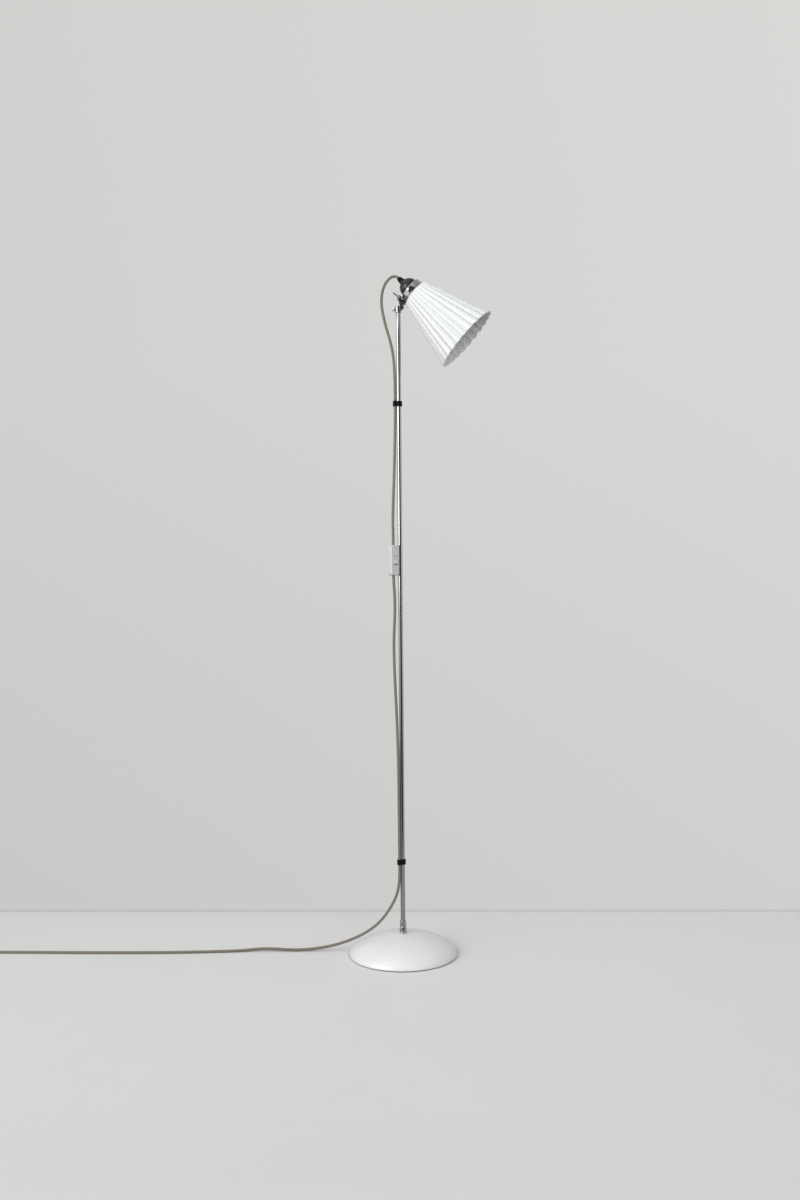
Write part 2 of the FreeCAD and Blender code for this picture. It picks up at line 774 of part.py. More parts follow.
def switch_cavity():
    half_width = switch_width / 2 - switch_wall
    half_depth = switch_front - switch_wall
    half_length = switch_length / 2 - switch_wall
    room = block((-half_width, -half_depth, -half_length), (half_width, half_depth, half_length))
    edges = []
    for edge in room.Edges:
        middle = edge.CenterOfMass
        if abs(middle.y) < 1e-6:
            edges.append(edge)
    return room.makeFillet(switch_corner - switch_wall, edges)


def switch_screw_places():
    return [(switch_screw_side, switch_screw_reach), (-switch_screw_side, -switch_screw_reach)]


def switch_half(side):
    """Shell on one side of the parting plane: side is -1 for the front, 1 for the back."""
    half = switch_length
    room = block((-half, 0, -half), (half, half, half))
    if side < 0:
        room = block((-half, -half, -half), (half, 0, half))
    shell = switch_solid().cut(switch_cavity())
    bosses = []
    for x, z in switch_screw_places():
        bosses.append(disc(switch_boss_radius, x, z, -switch_front, switch_front))
    bosses = bosses[0].fuse(bosses[1:]).common(switch_solid())
    shell = shell.fuse(bosses).common(room)
    return shell.cut(cylinder(cord_radius + seat_clearance, -half, half))


def switch_back():
    body = switch_half(1)
    head_start = switch_front - switch_screw_head
    for x, z in switch_screw_places():
        body = body.cut(disc(switch_screw_radius + seat_clearance, x, z, 0, switch_front))
        body = body.cut(disc(switch_screw_head_radius + seat_clearance, x, z, head_start,
                             switch_front))
    return body


def switch_front_cover():
    body = switch_half(-1)
    depth = switch_screw_length - (switch_front - switch_screw_head)
    for x, z in switch_screw_places():
        body = body.cut(disc(switch_screw_radius + slide_clearance, x, z,
                             -depth - free_clearance, 0))
    side = rocker_width / 2 + rocker_side_gap
    reach = rocker_half_length + rocker_gap
    body = body.cut(block((-side, -switch_depth, -reach), (side, -rocker_pivot, reach)))
    half = rocker_lug_size / 2
    inner = rocker_width / 2 + rocker_lug_gap
    outer = inner + rocker_lug_thickness
    front = -(switch_front - switch_wall)
    for low, high in ((inner, outer), (-outer, -inner)):
        lug = block((low, front, -half), (high, -rocker_pivot + half, half))
        body = body.fuse(lug)
    hole = cross_cylinder(rocker_pin_radius + slide_clearance,
                          Vector(-outer, -rocker_pivot, 0), Vector(outer, -rocker_pivot, 0))
    return body.cut(hole).removeSplitter()


def switch_rocker():
    half = rocker_width / 2
    end = -(switch_front + rocker_end_rise)
    middle = -(switch_front + rocker_middle_rise)
    keel = -(switch_front - rocker_keel_depth)
    shoulder = rocker_half_length - rocker_gap
    outline = [(end, -rocker_half_length), (middle, 0), (end, rocker_half_length),
               (-rocker_pivot, shoulder), (keel, shoulder / 3), (keel, -shoulder / 3),
               (-rocker_pivot, -shoulder)]
    points = [Vector(-half, y, z) for y, z in outline]
    body = Part.Face(Part.makePolygon(points + points[:1])).extrude(Vector(rocker_width, 0, 0))
    reach = half + rocker_pin_length
    pins = cross_cylinder(rocker_pin_radius, Vector(-reach, -rocker_pivot, 0),
                          Vector(reach, -rocker_pivot, 0))
    body = body.fuse(pins).removeSplitter()
    body.rotate(Vector(0, -rocker_pivot, 0), Vector(1, 0, 0), -rocker_lean)
    return body


def switch_screws():
    screws = []
    head_start = switch_front - switch_screw_head
    for x, z in switch_screw_places():
        shank = disc(switch_screw_radius, x, z, head_start - switch_screw_length, head_start)
        screws.append(shank.fuse(disc(switch_screw_head_radius, x, z, head_start, switch_front)))
    return Part.makeCompound(screws)


def switch_terminals():
    floor = switch_front - switch_wall
    return block((-terminal_width / 2, floor - terminal_depth, -terminal_length / 2),
                 (terminal_width / 2, floor, terminal_length / 2))


def switch_contacts():
    top = switch_front - switch_wall - terminal_depth
    strips = []
    for side in (1, -1):
        middle = side * contact_strip_pitch
        strips.append(block((-contact_strip_width / 2, top - contact_strip_height,
                             middle - contact_strip_length / 2),
                            (contact_strip_width / 2, top, middle + contact_strip_length / 2)))
    return Part.makeCompound(strips)


# ---- cords ---------------------------------------------------------------------------------------------------------------
def rounded_path(points):
    """Straight runs joined by tangent arcs; returns the wire and the list of arc radii."""
    corners = [Vector(*point) for point in points]
    edges = []
    radii = []
    here = corners[0]
    for before, corner, after in zip(corners, corners[1:], corners[2:]):
        arriving = corner.sub(before)
        leaving = after.sub(corner)
        setback = corner_share * min(arriving.Length, leaving.Length)
        arriving.normalize()
        leaving.normalize()
        turn = arriving.getAngle(leaving)
        radius = setback / math.tan(turn / 2)
        start = corner.sub(arriving * setback)
        end = corner.add(leaving * setback)
        inward = leaving.sub(arriving).normalize()
        middle = corner.add(inward * (radius / math.cos(turn / 2) - radius))
        edges.append(line(here, start))
        edges.append(Part.Arc(start, middle, end).toShape())
        radii.append(radius)
        here = end
    edges.append(line(here, corners[-1]))
    return Part.Wire(edges), radii


def tube(wire):
    """Cord along a wire, as a swept circle."""
    first = wire.OrderedEdges[0]
    start = first.valueAt(first.FirstParameter)
    section = Part.Wire(Part.Circle(start, first.tangentAt(first.FirstParameter),
                                    cord_radius).toShape())
    return wire.makePipeShell([section], True, False)


def cord_stretch(name, points):
    wire, radii = rounded_path(points)
    body = tube(wire)
    share = body.Volume / (math.pi * cord_radius ** 2 * wire.Length)
    print("%s: %.0f mm long, least radius %.1f, radii %s, volume ratio %.4f"
          % (name, wire.Length, min(radii), " ".join("%.0f" % radius for radius in radii), share))
    return body


def biarc(start, heading, end, arrival):
    """Two tangent arcs between points where the headings are opposite."""
    reach = start.distanceToPoint(end) / 2
    joint = start.add(end) * 0.5 + heading * reach
    edges = []
    for first, course, last in ((start, heading, joint), (end, arrival * -1, joint)):
        chord = last.sub(first)
        normal = chord.sub(course * chord.dot(course)).normalize()
        radius = chord.dot(chord) / (2 * chord.dot(normal))
        centre = first.add(normal * radius)
        toward = first.add(last) * 0.5 - centre
        middle = centre.add(toward.normalize() * radius)
        edges.append(Part.Arc(first, middle, last).toShape())
    return edges


def coil_wire():
    """Half turns that spiral in on the floor, climb one layer and spiral out again."""
    start = Vector(*floor_route[-1])
    here = Vector(start.x - 2 * cord_radius, start.y, start.z)
    edges = [line(start, here)]
    course = Vector(-1, 0, 0)
    side = 1
    radius = coil_outer_radius
    for half_turn in range(coil_lower_half_turns + 1 + coil_upper_half_turns):
        climb = 0
        if half_turn == coil_lower_half_turns:
            climb = coil_pitch
        there = Vector(here.x, here.y + side * 2 * radius, here.z + climb)
        edges.extend(biarc(here, course, there, course * -1))
        radius += -coil_pitch / 2 if half_turn < coil_lower_half_turns else coil_pitch / 2
        here = there
        course = course * -1
        side = -side
    end = here.add(course * coil_tail)
    edges.append(line(here, end))
    return Part.Wire(Part.__sortEdges__(edges)), end


def least_gap(wire):
    """Least gap between parts of the cord that are not beside each other along it."""
    count = int(wire.Length / cord_radius)
    points = wire.discretize(count)
    apart = int(math.pi * 4 * cord_radius / (wire.Length / count))
    nearest = wire.Length
    for index, point in enumerate(points):
        for other in points[index + apart:]:
            nearest = min(nearest, point.distanceToPoint(other))
    return nearest - 2 * cord_radius


def cord_coil(wire):
    body = tube(wire)
    share = body.Volume / (math.pi * cord_radius ** 2 * wire.Length)
    print("cord_coil: %.0f mm long, least gap to itself %.2f mm, volume ratio %.4f"
          % (wire.Length, least_gap(wire), share))
    return body


def cord_clip(route_point, height):
    """Rubber figure of eight round the rod and the cord."""
    low = height - clip_height / 2
    high = height + clip_height / 2
    x, y = route_point[:2]
    reach = math.hypot(x, y)
    hole = cord_radius + seat_clearance
    rod_lobe = cylinder(rod_radius + clip_rod_wall, low, high)
    cord_lobe = cylinder(hole + clip_cord_wall, low, high, x, y)
    waist = block((0, -hole, low), (reach, hole, high))
    waist.Placement = Placement(Vector(0, 0, 0),
                                Rotation(Vector(0, 0, 1), math.degrees(math.atan2(y, x))))
    body = rod_lobe.fuse([cord_lobe, waist]).removeSplitter()
    return body.cut(cylinder(rod_hole_radius, low, high)).cut(cylinder(hole, low, high, x, y))


# ---- plug ------------------------------------------------------------------------------------------------------------------
def plug_sleeve(end):
    return Part.makeCylinder(plug_sleeve_radius, plug_sleeve_length, end, Vector(-1, 0, 0))


def plug_body(end):
    back = end.x - plug_sleeve_length
    body = block((back - plug_length, end.y - plug_width / 2, 0),
                 (back, end.y + plug_width / 2, 2 * end.z))
    edges = [edge for edge in body.Edges if abs(edge.tangentAt(0).x) > 0.5]
    return body.makeFillet(plug_edge, edges)


def plug_pins(end):
    start = end.x - plug_sleeve_length - plug_length
    pins = []
    for side in (1, -1):
        y = end.y + side * pin_pitch / 2
        pins.append(cross_cylinder(pin_radius, Vector(start, y, end.z),
                                   Vector(start - pin_length, y, end.z)))
    return Part.makeCompound(pins)


# ---- all nodes ---------------------------------------------------------------------------------------------------------------
def placed(shape, place):
    copy = shape.copy()
    copy.Placement = place.multiply(shape.Placement)
    return copy


coil_path, plug_start = coil_wire()
nodes = {
    "base_cover": base_cover(),
    "base_weight": base_weight(),
    "base_felt": base_felt(),
    "rod_socket": rod_socket(),
    "socket_grub_screw": socket_grub_screw(),
    "rod": rod(),
    "rod_stud": rod_stud(),
    "rod_fixing_washer": rod_fixing_washer(),
    "rod_fixing_nut": rod_fixing_nut(),
    "swivel_knuckle": placed(swivel_knuckle(), swing),
    "thumb_screw": placed(thumb_screw(), swing),
    "upper_cord_clip": cord_clip(loop_rod_route[-1], upper_clip_height),
    "lower_cord_clip": cord_clip(floor_route[0], lower_clip_height),
    "cord_loop_at_head": cord_stretch("cord_loop_at_head", loop_at_head),
    "cord_loop_at_rod": cord_stretch("cord_loop_at_rod", loop_at_rod),
    "cord_above_switch": cord_stretch("cord_above_switch", rod_upper_route),
    "cord_below_switch": cord_stretch("cord_below_switch", rod_lower_route),
    "cord_on_floor": cord_stretch("cord_on_floor", floor_route),
    "cord_coil": cord_coil(coil_path),
    "plug_sleeve": plug_sleeve(plug_start),
    "plug_body": plug_body(plug_start),
    "plug_pins": plug_pins(plug_start),
}
for build in (head_bracket, friction_washers, wing_nut_washer, pivot_bolt, wing_nut,
              shade_collar, lampholder_cap, lampholder_body, terminal_disc, centre_contact,
              screw_shell, cord_grip, shade_nut, shade, bulb_glass, bulb_cap):
    nodes[build.__name__] = placed(build(), head_place)
for build in (switch_back, switch_front_cover, switch_rocker, switch_screws,
              switch_terminals, switch_contacts):
    nodes[build.__name__] = placed(build(), switch_place)

os.makedirs("parts", exist_ok=True)
for name, shape in nodes.items():
    if not shape.isValid():
        print("not valid:", name)
    shape.exportStep("parts/%s.step" % name)
print(len(nodes), "nodes")
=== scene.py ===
import math

import bmesh
import bpy
from mathutils import Matrix, Vector


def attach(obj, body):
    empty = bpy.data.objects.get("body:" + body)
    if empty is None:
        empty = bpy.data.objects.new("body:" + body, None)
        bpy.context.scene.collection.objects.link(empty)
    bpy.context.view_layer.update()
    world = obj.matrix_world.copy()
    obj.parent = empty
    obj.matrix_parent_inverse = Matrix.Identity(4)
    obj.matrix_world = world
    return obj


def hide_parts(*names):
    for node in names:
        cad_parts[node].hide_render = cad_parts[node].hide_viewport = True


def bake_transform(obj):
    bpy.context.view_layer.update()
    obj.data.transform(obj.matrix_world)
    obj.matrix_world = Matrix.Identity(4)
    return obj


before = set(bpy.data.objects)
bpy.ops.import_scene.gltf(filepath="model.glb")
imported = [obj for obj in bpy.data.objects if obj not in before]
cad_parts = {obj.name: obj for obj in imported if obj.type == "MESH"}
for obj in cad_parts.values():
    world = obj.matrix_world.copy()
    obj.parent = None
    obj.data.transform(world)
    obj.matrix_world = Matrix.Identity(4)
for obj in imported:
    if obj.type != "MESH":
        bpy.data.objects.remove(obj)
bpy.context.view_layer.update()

# Reading floor lamp: pleated white china shade, chrome rod, domed white base, braided cord.
# The small parts are modelled in millimetres in their own frame, then set in their place.
MM = 0.001
scene = bpy.context.scene
scene.view_settings.view_transform = "Standard"


def linked(name, data):
    """New object of the scene that shows a mesh, a curve, a lamp or a lens."""
    made = bpy.data.objects.new(name, data)
    scene.collection.objects.link(made)
    return made


def shift(x, y, z):
    return Matrix.Translation((x, y, z))


def rotation(degrees, axis):
    return Matrix.Rotation(math.radians(degrees), 4, axis)


# ---- camera ----------------------------------------------------------------------------------
CAMERA_PLACE = (-0.0010, -2.300, 0.7587)
CAMERA_LENS = 32.19
CAMERA_ROLL = 0.46


def set_camera():
    lens = bpy.data.cameras.new("camera")
    lens.lens = CAMERA_LENS
    camera = linked("camera", lens)
    camera.location = CAMERA_PLACE
    camera.rotation_euler = (math.radians(90), math.radians(CAMERA_ROLL), 0)
    scene.camera = camera


set_camera()

# ---- cord routes, in metres ------------------------------------------------------------------
CORD_DIAMETER = 0.006
CORD_STEPS = 8
CORD_ROUNDNESS = 4
HEAD_SWING = rotation(-3, "Z")
head_loop_route = [tuple(HEAD_SWING @ Vector(place)) for place in (
    (0.00106, 0.0, 1.44856), (-0.00263, 0.0, 1.45194), (-0.0086, 0.0, 1.453),
    (-0.016, 0.0, 1.4502), (-0.0232, 0.0, 1.4436), (-0.0293, 0.0, 1.4334),
    (-0.0337, 0.0, 1.4205), (-0.0359, 0.0, 1.406), (-0.0356, -0.0001, 1.39),
    (-0.0331, -0.0003, 1.3735), (-0.03035, -0.00045, 1.361),
)]
loop_meeting = Vector(head_loop_route[-1])
loop_onward = 2 * loop_meeting - Vector(head_loop_route[-2])
rod_loop_route = [
    tuple(loop_meeting), tuple(loop_onward), (-0.0224, 0.0005, 1.33), (-0.0169, 0.0, 1.311),
    (-0.0126, -0.0007, 1.29), (-0.0099, -0.0012, 1.267), (-0.0086, -0.0015, 1.24),
    (-0.00816, -0.00155, 1.209), (-0.00816, -0.00155, 1.1845),
]
rod_upper_route = [
    (-0.00816, -0.00155, 1.1845), (-0.00816, -0.00155, 1.14), (-0.0096, -0.0026, 1.088),
    (-0.0113, -0.0044, 1.03), (-0.0136, -0.0066, 0.976), (-0.0152, -0.0083, 0.928),
    (-0.0144, -0.009, 0.898), (-0.0144, -0.009, 0.868),
]
rod_lower_route = [
    (-0.0144, -0.009, 0.8188), (-0.0144, -0.009, 0.795), (-0.0119, -0.0084, 0.766),
    (-0.0123, -0.0082, 0.722), (-0.015, -0.008, 0.678), (-0.0146, -0.0077, 0.628),
    (-0.0126, -0.0073, 0.572), (-0.01, -0.0069, 0.51), (-0.008, -0.0062, 0.446),
    (-0.007, -0.0056, 0.382), (-0.0069, -0.0051, 0.318), (-0.0066, -0.00505, 0.256),
    (-0.0066, -0.00505, 0.1925),
]
floor_route = [
    (-0.0066, -0.00505, 0.168), (-0.0086, -0.0046, 0.143), (-0.0154, -0.0034, 0.121),
    (-0.0266, -0.0014, 0.0995), (-0.042, 0.0016, 0.077), (-0.0625, 0.0056, 0.0558),
    (-0.089, 0.0106, 0.0382), (-0.118, 0.0148, 0.0246), (-0.149, 0.0178, 0.0144),
    (-0.181, 0.0198, 0.0078), (-0.214, 0.0209, 0.0042), (-0.248, 0.0216, 0.0039),
    (-0.282, 0.0223, 0.0066), (-0.312, 0.0224, 0.0064), (-0.344, 0.0206, 0.0038),
    (-0.38, 0.0184, 0.00305), (-0.432, 0.0154, 0.00305), (-0.494, 0.0136, 0.00305),
    (-0.562, 0.0138, 0.00305), (-0.634, 0.0154, 0.00305), (-0.706, 0.0176, 0.00305),
    (-0.778, 0.021, 0.00305), (-0.85, 0.0234, 0.00305), (-0.906, 0.0244, 0.00305),
    (-0.95, 0.0244, 0.00305),
]
COIL_X = -0.956
COIL_PITCH = 0.0066
COIL_OUTER_RADIUS = 0.0455
COIL_HALF_TURNS_DOWN = 6
COIL_HALF_TURNS = 12
COIL_POINTS_PER_HALF_TURN = 6
COIL_TAIL_END = (-1.016, 0.0244, 0.00965)


def coil_points():
    """Half turns that spiral in on the floor, climb one layer and spiral out again."""
    points = []
    x, y, z = COIL_X, floor_route[-1][1], floor_route[-1][2]
    radius = COIL_OUTER_RADIUS
    side = 1
    for half_turn in range(COIL_HALF_TURNS):
        climb = COIL_PITCH if half_turn == COIL_HALF_TURNS_DOWN else 0.0
        for step in range(1, COIL_POINTS_PER_HALF_TURN + 1):
            share = step / COIL_POINTS_PER_HALF_TURN
            angle = math.pi * share
            points.append((x - side * radius * math.sin(angle),
                           y + side * radius * (1 - math.cos(angle)), z + climb * share))
        y += side * 2 * radius
        z += climb
        side = -side
        radius += COIL_PITCH / 2 * (-1 if half_turn < COIL_HALF_TURNS_DOWN else 1)
    return points


def cord_curve(name, route):
    curve = bpy.data.curves.new(name, "CURVE")
    curve.dimensions = "3D"
    spline = curve.splines.new("NURBS")
    spline.points.add(len(route) - 1)
    for point, place in zip(spline.points, route):
        point.co = (*place, 1.0)
    spline.order_u = 3
    spline.use_endpoint_u = True
    spline.resolution_u = CORD_STEPS
    return curve


def evaluated_mesh(shown):
    """Copy of an object's mesh, as its curve or its modifiers leave it."""
    return bpy.data.meshes.new_from_object(shown.evaluated_get(
        bpy.context.evaluated_depsgraph_get()))


def map_tube(bm, along, sides):
    """UVs of a tube from the length along it of each ring of vertices: metres, turns round."""
    uv = bm.loops.layers.uv.verify()
    bm.verts.index_update()
    for face in bm.faces:
        turns = [loop.vert.index % sides for loop in face.loops]
        wraps = 0 in turns and sides - 1 in turns
        for loop, turn in zip(face.loops, turns):
            round_share = 1.0 if wraps and turn == 0 else turn / sides
            loop[uv].uv = (along[loop.vert.index // sides], round_share)
        face.smooth = True


def cord_tube(name, route):
    """Closed mesh tube along the route's spline, and the points that it follows."""
    curve = cord_curve(name, route)
    carrier = linked(name + "_line", curve)
    line = bpy.data.meshes.new_from_object(carrier)
    path = [vertex.co.copy() for vertex in line.vertices]
    curve.bevel_depth = CORD_DIAMETER / 2
    curve.bevel_resolution = CORD_ROUNDNESS
    bpy.context.view_layer.update()
    mesh = evaluated_mesh(carrier)
    bpy.data.objects.remove(carrier)
    bpy.data.meshes.remove(line)
    mesh.name = name
    along = [0.0]
    for first, second in zip(path, path[1:]):
        along.append(along[-1] + (second - first).length)
    bm = bmesh.new()
    bm.from_mesh(mesh)
    map_tube(bm, along, len(mesh.vertices) // len(path))
    ends = [edge for edge in bm.edges if edge.is_boundary]
    bmesh.ops.holes_fill(bm, edges=ends, sides=0)
    bmesh.ops.recalc_face_normals(bm, faces=bm.faces)
    bm.to_mesh(mesh)
    bm.free()
    return mesh, path


# ---- material building -----------------------------------------------------------------------
def node(tree, kind, inputs=None, **settings):
    made = tree.nodes.new(kind)
    for key, value in settings.items():
        setattr(made, key, value)
    for socket, value in (inputs or {}).items():
        if isinstance(value, bpy.types.NodeSocket):
            tree.links.new(value, made.inputs[socket])
        else:
            made.inputs[socket].default_value = value
    return made


def sums(tree, operation, first, second=0.0, third=0.0):
    return node(tree, "ShaderNodeMath", {0: first, 1: second, 2: third},
                operation=operation).outputs[0]


def ranged(tree, value, low, high, first=0.0, last=1.0):
    """Goes from first to last while the value goes from low to high."""
    return node(tree, "ShaderNodeMapRange", {
        "Value": value, "From Min": low, "From Max": high, "To Min": first,
        "To Max": last}).outputs[0]


def blend_values(tree, share, first, second):
    return node(tree, "ShaderNodeMix", {0: share, 2: first, 3: second}).outputs[0]


def blend_colours(tree, share, first, second):
    return node(tree, "ShaderNodeMix", {0: share, 6: first, 7: second},
                data_type="RGBA").outputs[2]


def blend_shaders(tree, share, first, second):
    return node(tree, "ShaderNodeMixShader", {0: share, 1: first, 2: second}).outputs[0]


def parts_of(tree, vector):
    return node(tree, "ShaderNodeSeparateXYZ", {0: vector}).outputs


def noise(tree, place, scale, detail, roughness=0.5):
    return node(tree, "ShaderNodeTexNoise", {
        "Vector": place, "Scale": scale, "Detail": detail,
        "Roughness": roughness}).outputs["Fac"]


def relief_from(tree, height, distance):
    return node(tree, "ShaderNodeBump", {"Height": height, "Strength": 1.0,
                                         "Distance": distance}).outputs[0]


def grey(value, blue=1.0):
    """Neutral colour, with the stated share of its blue."""
    return (value, value, value * blue, 1)


def colour_ramp(tree, share, stops):
    """Colour along the stops, each a position and a colour, the first at 0, the last at 1."""
    made = node(tree, "ShaderNodeValToRGB", {0: share})
    elements = made.color_ramp.elements
    elements[0].color = stops[0][1]
    elements[1].color = stops[-1][1]
    for position, colour in stops[1:-1]:
        elements.new(position).color = colour
    return made.outputs[0]


def effect(name, inputs, outputs):
    """Node group with named sockets; returns its tree, its inputs and its outputs."""
    tree = bpy.data.node_groups.new(name, "ShaderNodeTree")
    for socket, kind, value in inputs:
        made = tree.interface.new_socket(name=socket, in_out="INPUT",
                                         socket_type="NodeSocket" + kind)
        if value is not None:
            made.default_value = value
    for socket, kind in outputs:
        tree.interface.new_socket(name=socket, in_out="OUTPUT", socket_type="NodeSocket" + kind)
    return tree, node(tree, "NodeGroupInput").outputs, node(tree, "NodeGroupOutput").inputs


def surface_effect():
    """Fine unevenness of a finish: tone, gloss and a shallow relief, at a stated size."""
    tree, given, result = effect(
        "surface_unevenness",
        [("Vector", "Vector", None), ("Colour", "Color", (0.8, 0.8, 0.8, 1)),
         ("Second colour", "Color", (0.7, 0.7, 0.7, 1)), ("Frequency", "Float", 60.0),
         ("Tone", "Float", 0.3), ("Roughness", "Float", 0.3), ("Gloss spread", "Float", 0.1),
         ("Relief frequency", "Float", 300.0), ("Relief", "Float", 0.0001)],
        [("Colour", "Color"), ("Roughness", "Float"), ("Normal", "Vector")])
    broad = noise(tree, given["Vector"], given["Frequency"], 3.0, 0.55)
    fine = noise(tree, given["Vector"], given["Relief frequency"], 4.0)
    patch = ranged(tree, broad, 0.35, 0.7)
    share = sums(tree, "MULTIPLY", patch, given["Tone"])
    tree.links.new(blend_colours(tree, share, given["Colour"], given["Second colour"]),
                   result["Colour"])
    centred = sums(tree, "SUBTRACT", sums(tree, "ADD", patch, fine), 1.0)
    tree.links.new(sums(tree, "MULTIPLY_ADD", centred, given["Gloss spread"],
                        given["Roughness"]), result["Roughness"])
    tree.links.new(relief_from(tree, fine, given["Relief"]), result["Normal"])
    return tree


FIBRE_FREQUENCY = 1500.0
FIBRE_DARKNESS = 0.5
FIBRE_LIFT = 0.15
GROOVE_PAINTED_SHADE = 0.5
SECOND_THREAD_DARKNESS = 0.35


def braid_effect():
    """Diagonal plait on a cord, from its UVs: metres along, turns round, with painted shade in the
    grooves between strands.
    """
    tree, given, result = effect(
        "cord_braid",
        [("UV", "Vector", None), ("Light thread", "Color", (0.6, 0.5, 0.4, 1)),
         ("Dark thread", "Color", (0.2, 0.15, 0.1, 1)), ("Strands", "Float", 8.0),
         ("Lay length", "Float", 0.012), ("Relief", "Float", 0.0004)],
        [("Colour", "Color"), ("Normal", "Vector")])
    parts = parts_of(tree, given["UV"])
    along = sums(tree, "DIVIDE", parts["X"], given["Lay length"])
    along = sums(tree, "MULTIPLY", along, given["Strands"])
    rounds = sums(tree, "MULTIPLY", parts["Y"], given["Strands"])
    ways = []
    for operation in ("ADD", "SUBTRACT"):
        strand = sums(tree, operation, rounds, along)
        middle = sums(tree, "ABSOLUTE", sums(tree, "SUBTRACT", sums(tree, "FRACT", strand), 0.5))
        crown = sums(tree, "SUBTRACT", 1.0, sums(tree, "MULTIPLY", middle, middle))
        ways.append((sums(tree, "FLOOR", strand), crown, middle))
    (row, crown, middle), (second_row, second_crown, second_middle) = ways
    on_top = sums(tree, "FLOORED_MODULO", sums(tree, "ADD", row, second_row), 2.0)
    height = blend_values(tree, on_top, crown, second_crown)
    edge = blend_values(tree, on_top, middle, second_middle)
    fibres = noise(tree, given["UV"], FIBRE_FREQUENCY, 2.0)
    # Painted shade: each strand's colour darkens towards its edges, in the grooves between
    # strands.
    groove_shade = ranged(tree, edge, 0.25, 0.5)
    dark = sums(tree, "MULTIPLY", on_top, SECOND_THREAD_DARKNESS)
    dark = sums(tree, "MULTIPLY_ADD", groove_shade, GROOVE_PAINTED_SHADE, dark)
    dark = sums(tree, "MULTIPLY_ADD", sums(tree, "SUBTRACT", fibres, 0.5), FIBRE_DARKNESS, dark)
    share = node(tree, "ShaderNodeClamp", {0: dark}).outputs[0]
    tree.links.new(blend_colours(tree, share, given["Light thread"], given["Dark thread"]),
                   result["Colour"])
    lift = sums(tree, "MULTIPLY_ADD", fibres, FIBRE_LIFT, height)
    tree.links.new(relief_from(tree, lift, given["Relief"]), result["Normal"])
    return tree


BEHIND_COLOUR = (0.5, 0.5, 0.52, 1)


def room_effect():
    """Light of the room round the lamp as bright metal shows it, from a direction."""
    tree, given, result = effect("room_light", [("Vector", "Vector", None)],
                                 [("Colour", "Color")])
    parts = parts_of(tree, given["Vector"])
    turn = sums(tree, "ARCTAN2", parts["X"], sums(tree, "MULTIPLY", parts["Y"], -1.0))
    share = ranged(tree, turn, -math.pi, math.pi)
    room = colour_ramp(tree, share, [
        (0.0, BEHIND_COLOUR), (0.20, grey(0.75)), (0.28, grey(1.0)), (0.385, grey(1.0)),
        (0.405, grey(0.04)), (0.64, grey(0.04)), (0.665, grey(0.62)), (0.80, grey(0.60)),
        (1.0, BEHIND_COLOUR)])
    overhead = ranged(tree, share, 0.40, 0.60, 0.85, 0.30)
    climb = ranged(tree, parts["Z"], 0.32, 0.45)
    tree.links.new(blend_colours(tree, climb, room, overhead), result["Colour"])
    return tree


unevenness = surface_effect()
braid = braid_effect()
room_light = room_effect()
SHADER_SOCKETS = {"Colour": "Base Color", "Roughness": "Roughness", "Normal": "Normal"}


def new_material(name):
    """Material with its node tree and its shader."""
    made = bpy.data.materials.new(name)
    made.use_nodes = True
    return made, made.node_tree, made.node_tree.nodes["Principled BSDF"]


def effect_material(name, shown, coordinates, values, uniform):
    """Material that shows an effect; uniform values go on the shader's own sockets."""
    made, tree, shader = new_material(name)
    place = node(tree, "ShaderNodeTexCoord").outputs[coordinates]
    group = node(tree, "ShaderNodeGroup", {0: place, **values}, node_tree=shown)
    for result in group.outputs:
        tree.links.new(result, shader.inputs[SHADER_SOCKETS[result.name]])
    for socket, value in uniform.items():
        shader.inputs[socket.replace("_", " ")].default_value = value
    return made


def finish_material(name, colour, second, patches, gloss, relief, **uniform):
    """Uneven finish. The pairs are patches (frequency, tone), gloss (roughness, spread) and
    relief (frequency, depth in metres)."""
    values = {"Colour": (*colour, 1), "Second colour": (*second, 1), "Frequency": patches[0],
              "Tone": patches[1], "Roughness": gloss[0], "Gloss spread": gloss[1],
              "Relief frequency": relief[0], "Relief": relief[1]}
    return effect_material(name, unevenness, "Object", values, uniform)


china = finish_material("glazed_china", (0.775, 0.79, 0.79), (0.74, 0.755, 0.75),
                        patches=(25.0, 0.5), gloss=(0.42, 0.05), relief=(180.0, 0.00003),
                        Coat_Weight=0.25, Coat_Roughness=0.3)
enamel = finish_material("white_enamel", (0.84, 0.845, 0.855), (0.81, 0.815, 0.825),
                         patches=(18.0, 0.5), gloss=(0.30, 0.04), relief=(350.0, 0.00002),
                         Coat_Weight=0.3, Coat_Roughness=0.16)
chrome = finish_material("chrome_plate", (0.42, 0.42, 0.43), (0.38, 0.38, 0.39),
                         patches=(45.0, 0.6), gloss=(0.14, 0.01), relief=(60.0, 0.000004),
                         Metallic=1.0)
satin_chrome = finish_material("satin_chrome", (0.90, 0.90, 0.90), (0.86, 0.86, 0.86),
                               patches=(120.0, 0.6), gloss=(0.42, 0.05), relief=(900.0, 0.00001),
                               Metallic=1.0)
cast_zinc = finish_material("plated_casting", (0.30, 0.30, 0.305), (0.20, 0.20, 0.205),
                            patches=(90.0, 0.7), gloss=(0.22, 0.1), relief=(700.0, 0.00005),
                            Metallic=1.0)
zinc = finish_material("zinc_plated_steel", (0.46, 0.46, 0.47), (0.34, 0.34, 0.33),
                       patches=(120.0, 0.7), gloss=(0.34, 0.16), relief=(900.0, 0.00005),
                       Metallic=1.0)
iron = finish_material("painted_iron", (0.07, 0.07, 0.072), (0.12, 0.10, 0.09),
                       patches=(60.0, 0.5), gloss=(0.62, 0.2), relief=(350.0, 0.0003))
felt = finish_material("felt", (0.035, 0.035, 0.037), (0.075, 0.073, 0.07), patches=(500.0, 0.8),
                       gloss=(0.93, 0.05), relief=(1600.0, 0.0005), Sheen_Weight=0.3)
